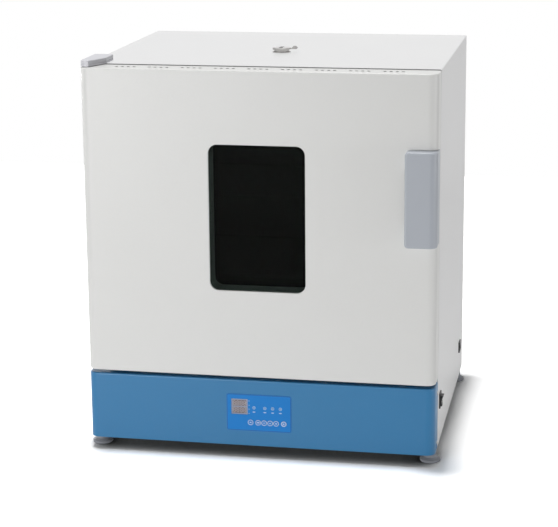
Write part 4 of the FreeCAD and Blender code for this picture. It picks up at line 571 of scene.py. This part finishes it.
def rocker_mark(bm, draw, out, up, tilt):
    """Draws a mark and lays it on the rocker's sloping face, at a distance out and up from the pivot."""
    mark = bmesh.new()
    draw(mark)
    bmesh.ops.rotate(mark, verts=mark.verts, cent=(0, 0, 0), matrix=Matrix.Rotation(math.radians(90), 3, "Z"))
    bmesh.ops.rotate(mark, verts=mark.verts, cent=(0, 0, 0), matrix=Matrix.Rotation(math.radians(tilt), 3, "Y"))
    bmesh.ops.translate(mark, verts=mark.verts, vec=pivot + Vector((out, 0, up)))
    mesh = bpy.data.meshes.new("mark")
    mark.to_mesh(mesh)
    mark.free()
    bm.from_mesh(mesh)
    bpy.data.meshes.remove(mesh)


marks = bmesh.new()
rocker_mark(marks, lambda bm: print_shape(bm, 0, 0, 0, 4, 0.0016, 0.0085, 45), 0.00681, 0.00458, 20.6)
rocker_mark(marks, lambda bm: print_ring(bm, 0, 0, 0, 0.0026, 0.0008), 0.0055, -0.00609, -6.6)
finish_piece(marks, "rocker_marks", screen_ink("white_polyamide", "#D9DADB", 0.45), "switch_rocker")

inlet_low, inlet_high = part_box("power_inlet")
inlet_y, inlet_z = (inlet_low[1] + inlet_high[1]) / 2, (inlet_low[2] + inlet_high[2]) / 2
pins = bmesh.new()
for dy, dz in ((-0.007, -0.002), (0.007, -0.002), (0.0, 0.003)):
    blade = bmesh.ops.create_cube(pins, size=1.0)["verts"]
    bmesh.ops.scale(pins, verts=blade, vec=(0.0167, 0.00212, 0.00412))
    bmesh.ops.translate(pins, verts=blade, vec=(inlet_high[0] - 0.0142, inlet_y + dy, inlet_z + dz))
bmesh.ops.bevel(pins, geom=list(pins.edges), offset=0.0004, segments=2, profile=0.5, affect="EDGES",
                material=-1)
finish_piece(pins, "inlet_pins", brushed_stainless("nickel_plate", "X", "#CFC9BC", "#B5AFA2", 0.18), "cabinet")


# Feet and screws: the feet are grey moulded rubber with a dusty bloom, and the screws are zinc-plated pan heads
# with a cross recess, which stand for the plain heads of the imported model.

dress(moulded("foot_rubber", "#8E9198", "#84878E", 0.5, 2.0, 0.0002), "feet")


def pan_head(bm, at, outwards):
    """A pan head with a cross recess, made from a grid with its corners cut away inside a ring."""
    head = bmesh.new()
    radius, tall = 0.004, 0.0016
    cross = bmesh.ops.create_grid(head, x_segments=3, y_segments=3, size=0.5)["verts"]
    # The cross is 3.6 mm long with arms 0.9 mm wide.
    stops = [-0.0018, -0.00045, 0.00045, 0.0018]
    for vert in cross:
        vert.co.x = stops[round((vert.co.x + 0.5) * 3)]
        vert.co.y = stops[round((vert.co.y + 0.5) * 3)]
    corners = [face for face in head.faces if min(abs(face.calc_center_median().x),
                                                  abs(face.calc_center_median().y)) > 0.0005]
    bmesh.ops.delete(head, geom=corners, context="FACES")
    floor_faces = list(head.faces)
    rim_loop = [edge for edge in head.edges if edge.is_boundary]
    brim = bmesh.ops.create_circle(head, segments=24, radius=radius * 0.72)["verts"]
    brim_loop = list({edge for vert in brim for edge in vert.link_edges})
    bmesh.ops.bridge_loops(head, edges=rim_loop + brim_loop)
    sunk = bmesh.ops.extrude_face_region(head, geom=floor_faces)["geom"]
    bmesh.ops.translate(head, verts=[v for v in sunk if isinstance(v, bmesh.types.BMVert)], vec=(0, 0, -0.0009))
    bmesh.ops.delete(head, geom=floor_faces, context="FACES_ONLY")
    loop = brim_loop
    for scale, drop in ((0.93 / 0.72, -0.00035), (1.0 / 0.93, -0.0005), (1.0, -0.00075)):
        grown = bmesh.ops.extrude_edge_only(head, edges=loop)["geom"]
        ring = [item for item in grown if isinstance(item, bmesh.types.BMVert)]
        loop = [item for item in grown if isinstance(item, bmesh.types.BMEdge)]
        bmesh.ops.scale(head, verts=ring, vec=(scale, scale, 1))
        bmesh.ops.translate(head, verts=ring, vec=(0, 0, drop))
    bmesh.ops.contextual_create(head, geom=loop)
    bmesh.ops.translate(head, verts=head.verts, vec=(0, 0, tall))
    bmesh.ops.recalc_face_normals(head, faces=head.faces)
    turn = Vector((0, 0, 1)).rotation_difference(Vector(outwards)).to_matrix()
    bmesh.ops.rotate(head, verts=head.verts, cent=(0, 0, 0), matrix=turn)
    bmesh.ops.translate(head, verts=head.verts, vec=at)
    mesh = bpy.data.meshes.new("head")
    head.to_mesh(mesh)
    head.free()
    bm.from_mesh(mesh)
    bpy.data.meshes.remove(mesh)


case_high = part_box("outer_case")[1]
fan_low, fan_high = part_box("fan_impeller")
fan_z = (fan_low[2] + fan_high[2]) / 2
rear = bmesh.new()
for side in (-1, 1):
    for z in (case_high[2] - 0.020, fan_z + 0.040, fan_z - 0.120, 0.061):
        pan_head(rear, (side * 0.3365, case_high[1], z), (0, 1, 0))
    pan_head(rear, (side * 0.108, case_high[1] + 0.0012, fan_z), (0, 1, 0))
rear_heads = finish_piece(rear, "rear_screw_heads", zinc, "cabinet")
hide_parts("rear_screws")

sides = bmesh.new()
screw_low, screw_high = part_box("fascia_screws")
screw_y = (screw_low[1] + screw_high[1]) / 2
for side in (-1, 1):
    for z in (screw_low[2] + 0.004, screw_high[2] - 0.004):
        pan_head(sides, (side * case_high[0], screw_y, z), (side, 0, 0))
side_heads = finish_piece(sides, "fascia_screw_heads", zinc, "cabinet")
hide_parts("fascia_screws")


# Floor, light and camera: white paper under a far overhead lamp, which keeps the shadow close to the object,
# and four low soft boxes round it, which light the upright sides and hardly touch the floor.

floor_bm = bmesh.new()
bmesh.ops.create_grid(floor_bm, x_segments=1, y_segments=1, size=2.6)
floor_mesh = bpy.data.meshes.new("floor")
floor_bm.to_mesh(floor_mesh)
floor_bm.free()
floor = bpy.data.objects.new("floor", floor_mesh)
bpy.context.scene.collection.objects.link(floor)
paper = bpy.data.materials.new("white_paper_sweep")
paper.use_nodes = True
tree = paper.node_tree
tree.nodes.clear()
ray = add(tree, "LightPath", {})
through = add(tree, "Math", {0: ray.outputs["Is Glossy Ray"], 1: ray.outputs["Is Transmission Ray"]},
              operation="MAXIMUM")
mirrored = add(tree, "MixRGB", {"Fac": through.outputs[0], "Color1": (0.7, 0.7, 0.7, 1),
                                "Color2": (1.0, 1.0, 1.0, 1)})
# The paper is over-exposed to plain white, which would wash out the shadow where the object stands, so a
# painted contact shadow darkens its white with the part of the sky that the object hides from it (ambient
# occlusion).
hidden = add(tree, "AmbientOcclusion", {"Distance": 0.05}, samples=16)
painted_contact_shadow = add(tree, "MapRange", {"Value": hidden.outputs["AO"], "From Min": 0.1, "From Max": 0.92,
                                 "To Min": 0.05, "To Max": 2.1}, interpolation_type="SMOOTHSTEP")
shade = add(tree, "MixRGB", {"Fac": ray.outputs["Is Camera Ray"], "Color1": mirrored.outputs["Color"],
                             "Color2": painted_contact_shadow.outputs["Result"]})
matte = add(tree, "BsdfDiffuse", {"Color": shade.outputs["Color"]})
add(tree, "OutputMaterial", {"Surface": matte.outputs["BSDF"]})
floor_mesh.materials.append(paper)

world = bpy.data.worlds.new("studio")
bpy.context.scene.world = world
world.use_nodes = True
tree = world.node_tree
tree.nodes.clear()
ray = add(tree, "LightPath", {})
through = add(tree, "Math", {0: ray.outputs["Is Glossy Ray"], 1: ray.outputs["Is Transmission Ray"]},
              operation="MAXIMUM")
seen = add(tree, "Math", {0: through.outputs[0], 1: ray.outputs["Is Camera Ray"]}, operation="MAXIMUM")
fill = add(tree, "Background", {"Color": (1, 1, 1, 1), "Strength": 0.14})
white = add(tree, "Background", {"Color": (1, 1, 1, 1), "Strength": 1.0})
sky = add(tree, "MixShader", {0: seen.outputs[0], 1: fill.outputs[0], 2: white.outputs[0]})
add(tree, "OutputWorld", {"Surface": sky.outputs[0]})


def soft_light(name, place, aim, size, power):
    """A soft box that looks at a point."""
    lamp = bpy.data.lights.new(name, "AREA")
    lamp.shape = "RECTANGLE"
    lamp.size, lamp.size_y = size
    lamp.energy = power
    item = bpy.data.objects.new(name, lamp)
    item.location = place
    item.rotation_euler = (Vector(aim) - Vector(place)).to_track_quat("-Z", "Y").to_euler()
    bpy.context.scene.collection.objects.link(item)


soft_light("overhead", (-0.3, 0.05, 8.0), (0, 0.05, 0.4), (1.0, 1.0), 400)
soft_light("front_box", (-2.0, -4.4, 0.4), (0, -0.3, 0.5), (2.0, 0.5), 105)
soft_light("right_box", (4.5, -0.6, 0.35), (0, 0, 0.4), (1.6, 0.45), 48)
soft_light("left_box", (-4.5, 0.2, 0.35), (0, 0, 0.4), (1.6, 0.45), 20)
soft_light("rear_box", (-2.2, 4.2, 0.35), (0, 0, 0.4), (1.6, 0.45), 55)

view = bpy.data.cameras.new("camera")
view.lens = 113.78
view.shift_y = -0.1004
view.sensor_width = 36
camera = bpy.data.objects.new("camera", view)
bpy.context.scene.collection.objects.link(camera)
camera.matrix_world = (Matrix.Translation((0.6782, -3.5653, 1.2471))
                       @ Matrix.Rotation(math.radians(10.989), 4, "Z")
                       @ Matrix.Rotation(math.radians(90 - 12.432), 4, "X")
                       @ Matrix.Rotation(math.radians(-0.488), 4, "Z"))
bpy.context.scene.camera = camera
bpy.context.scene.view_settings.view_transform = "Standard"
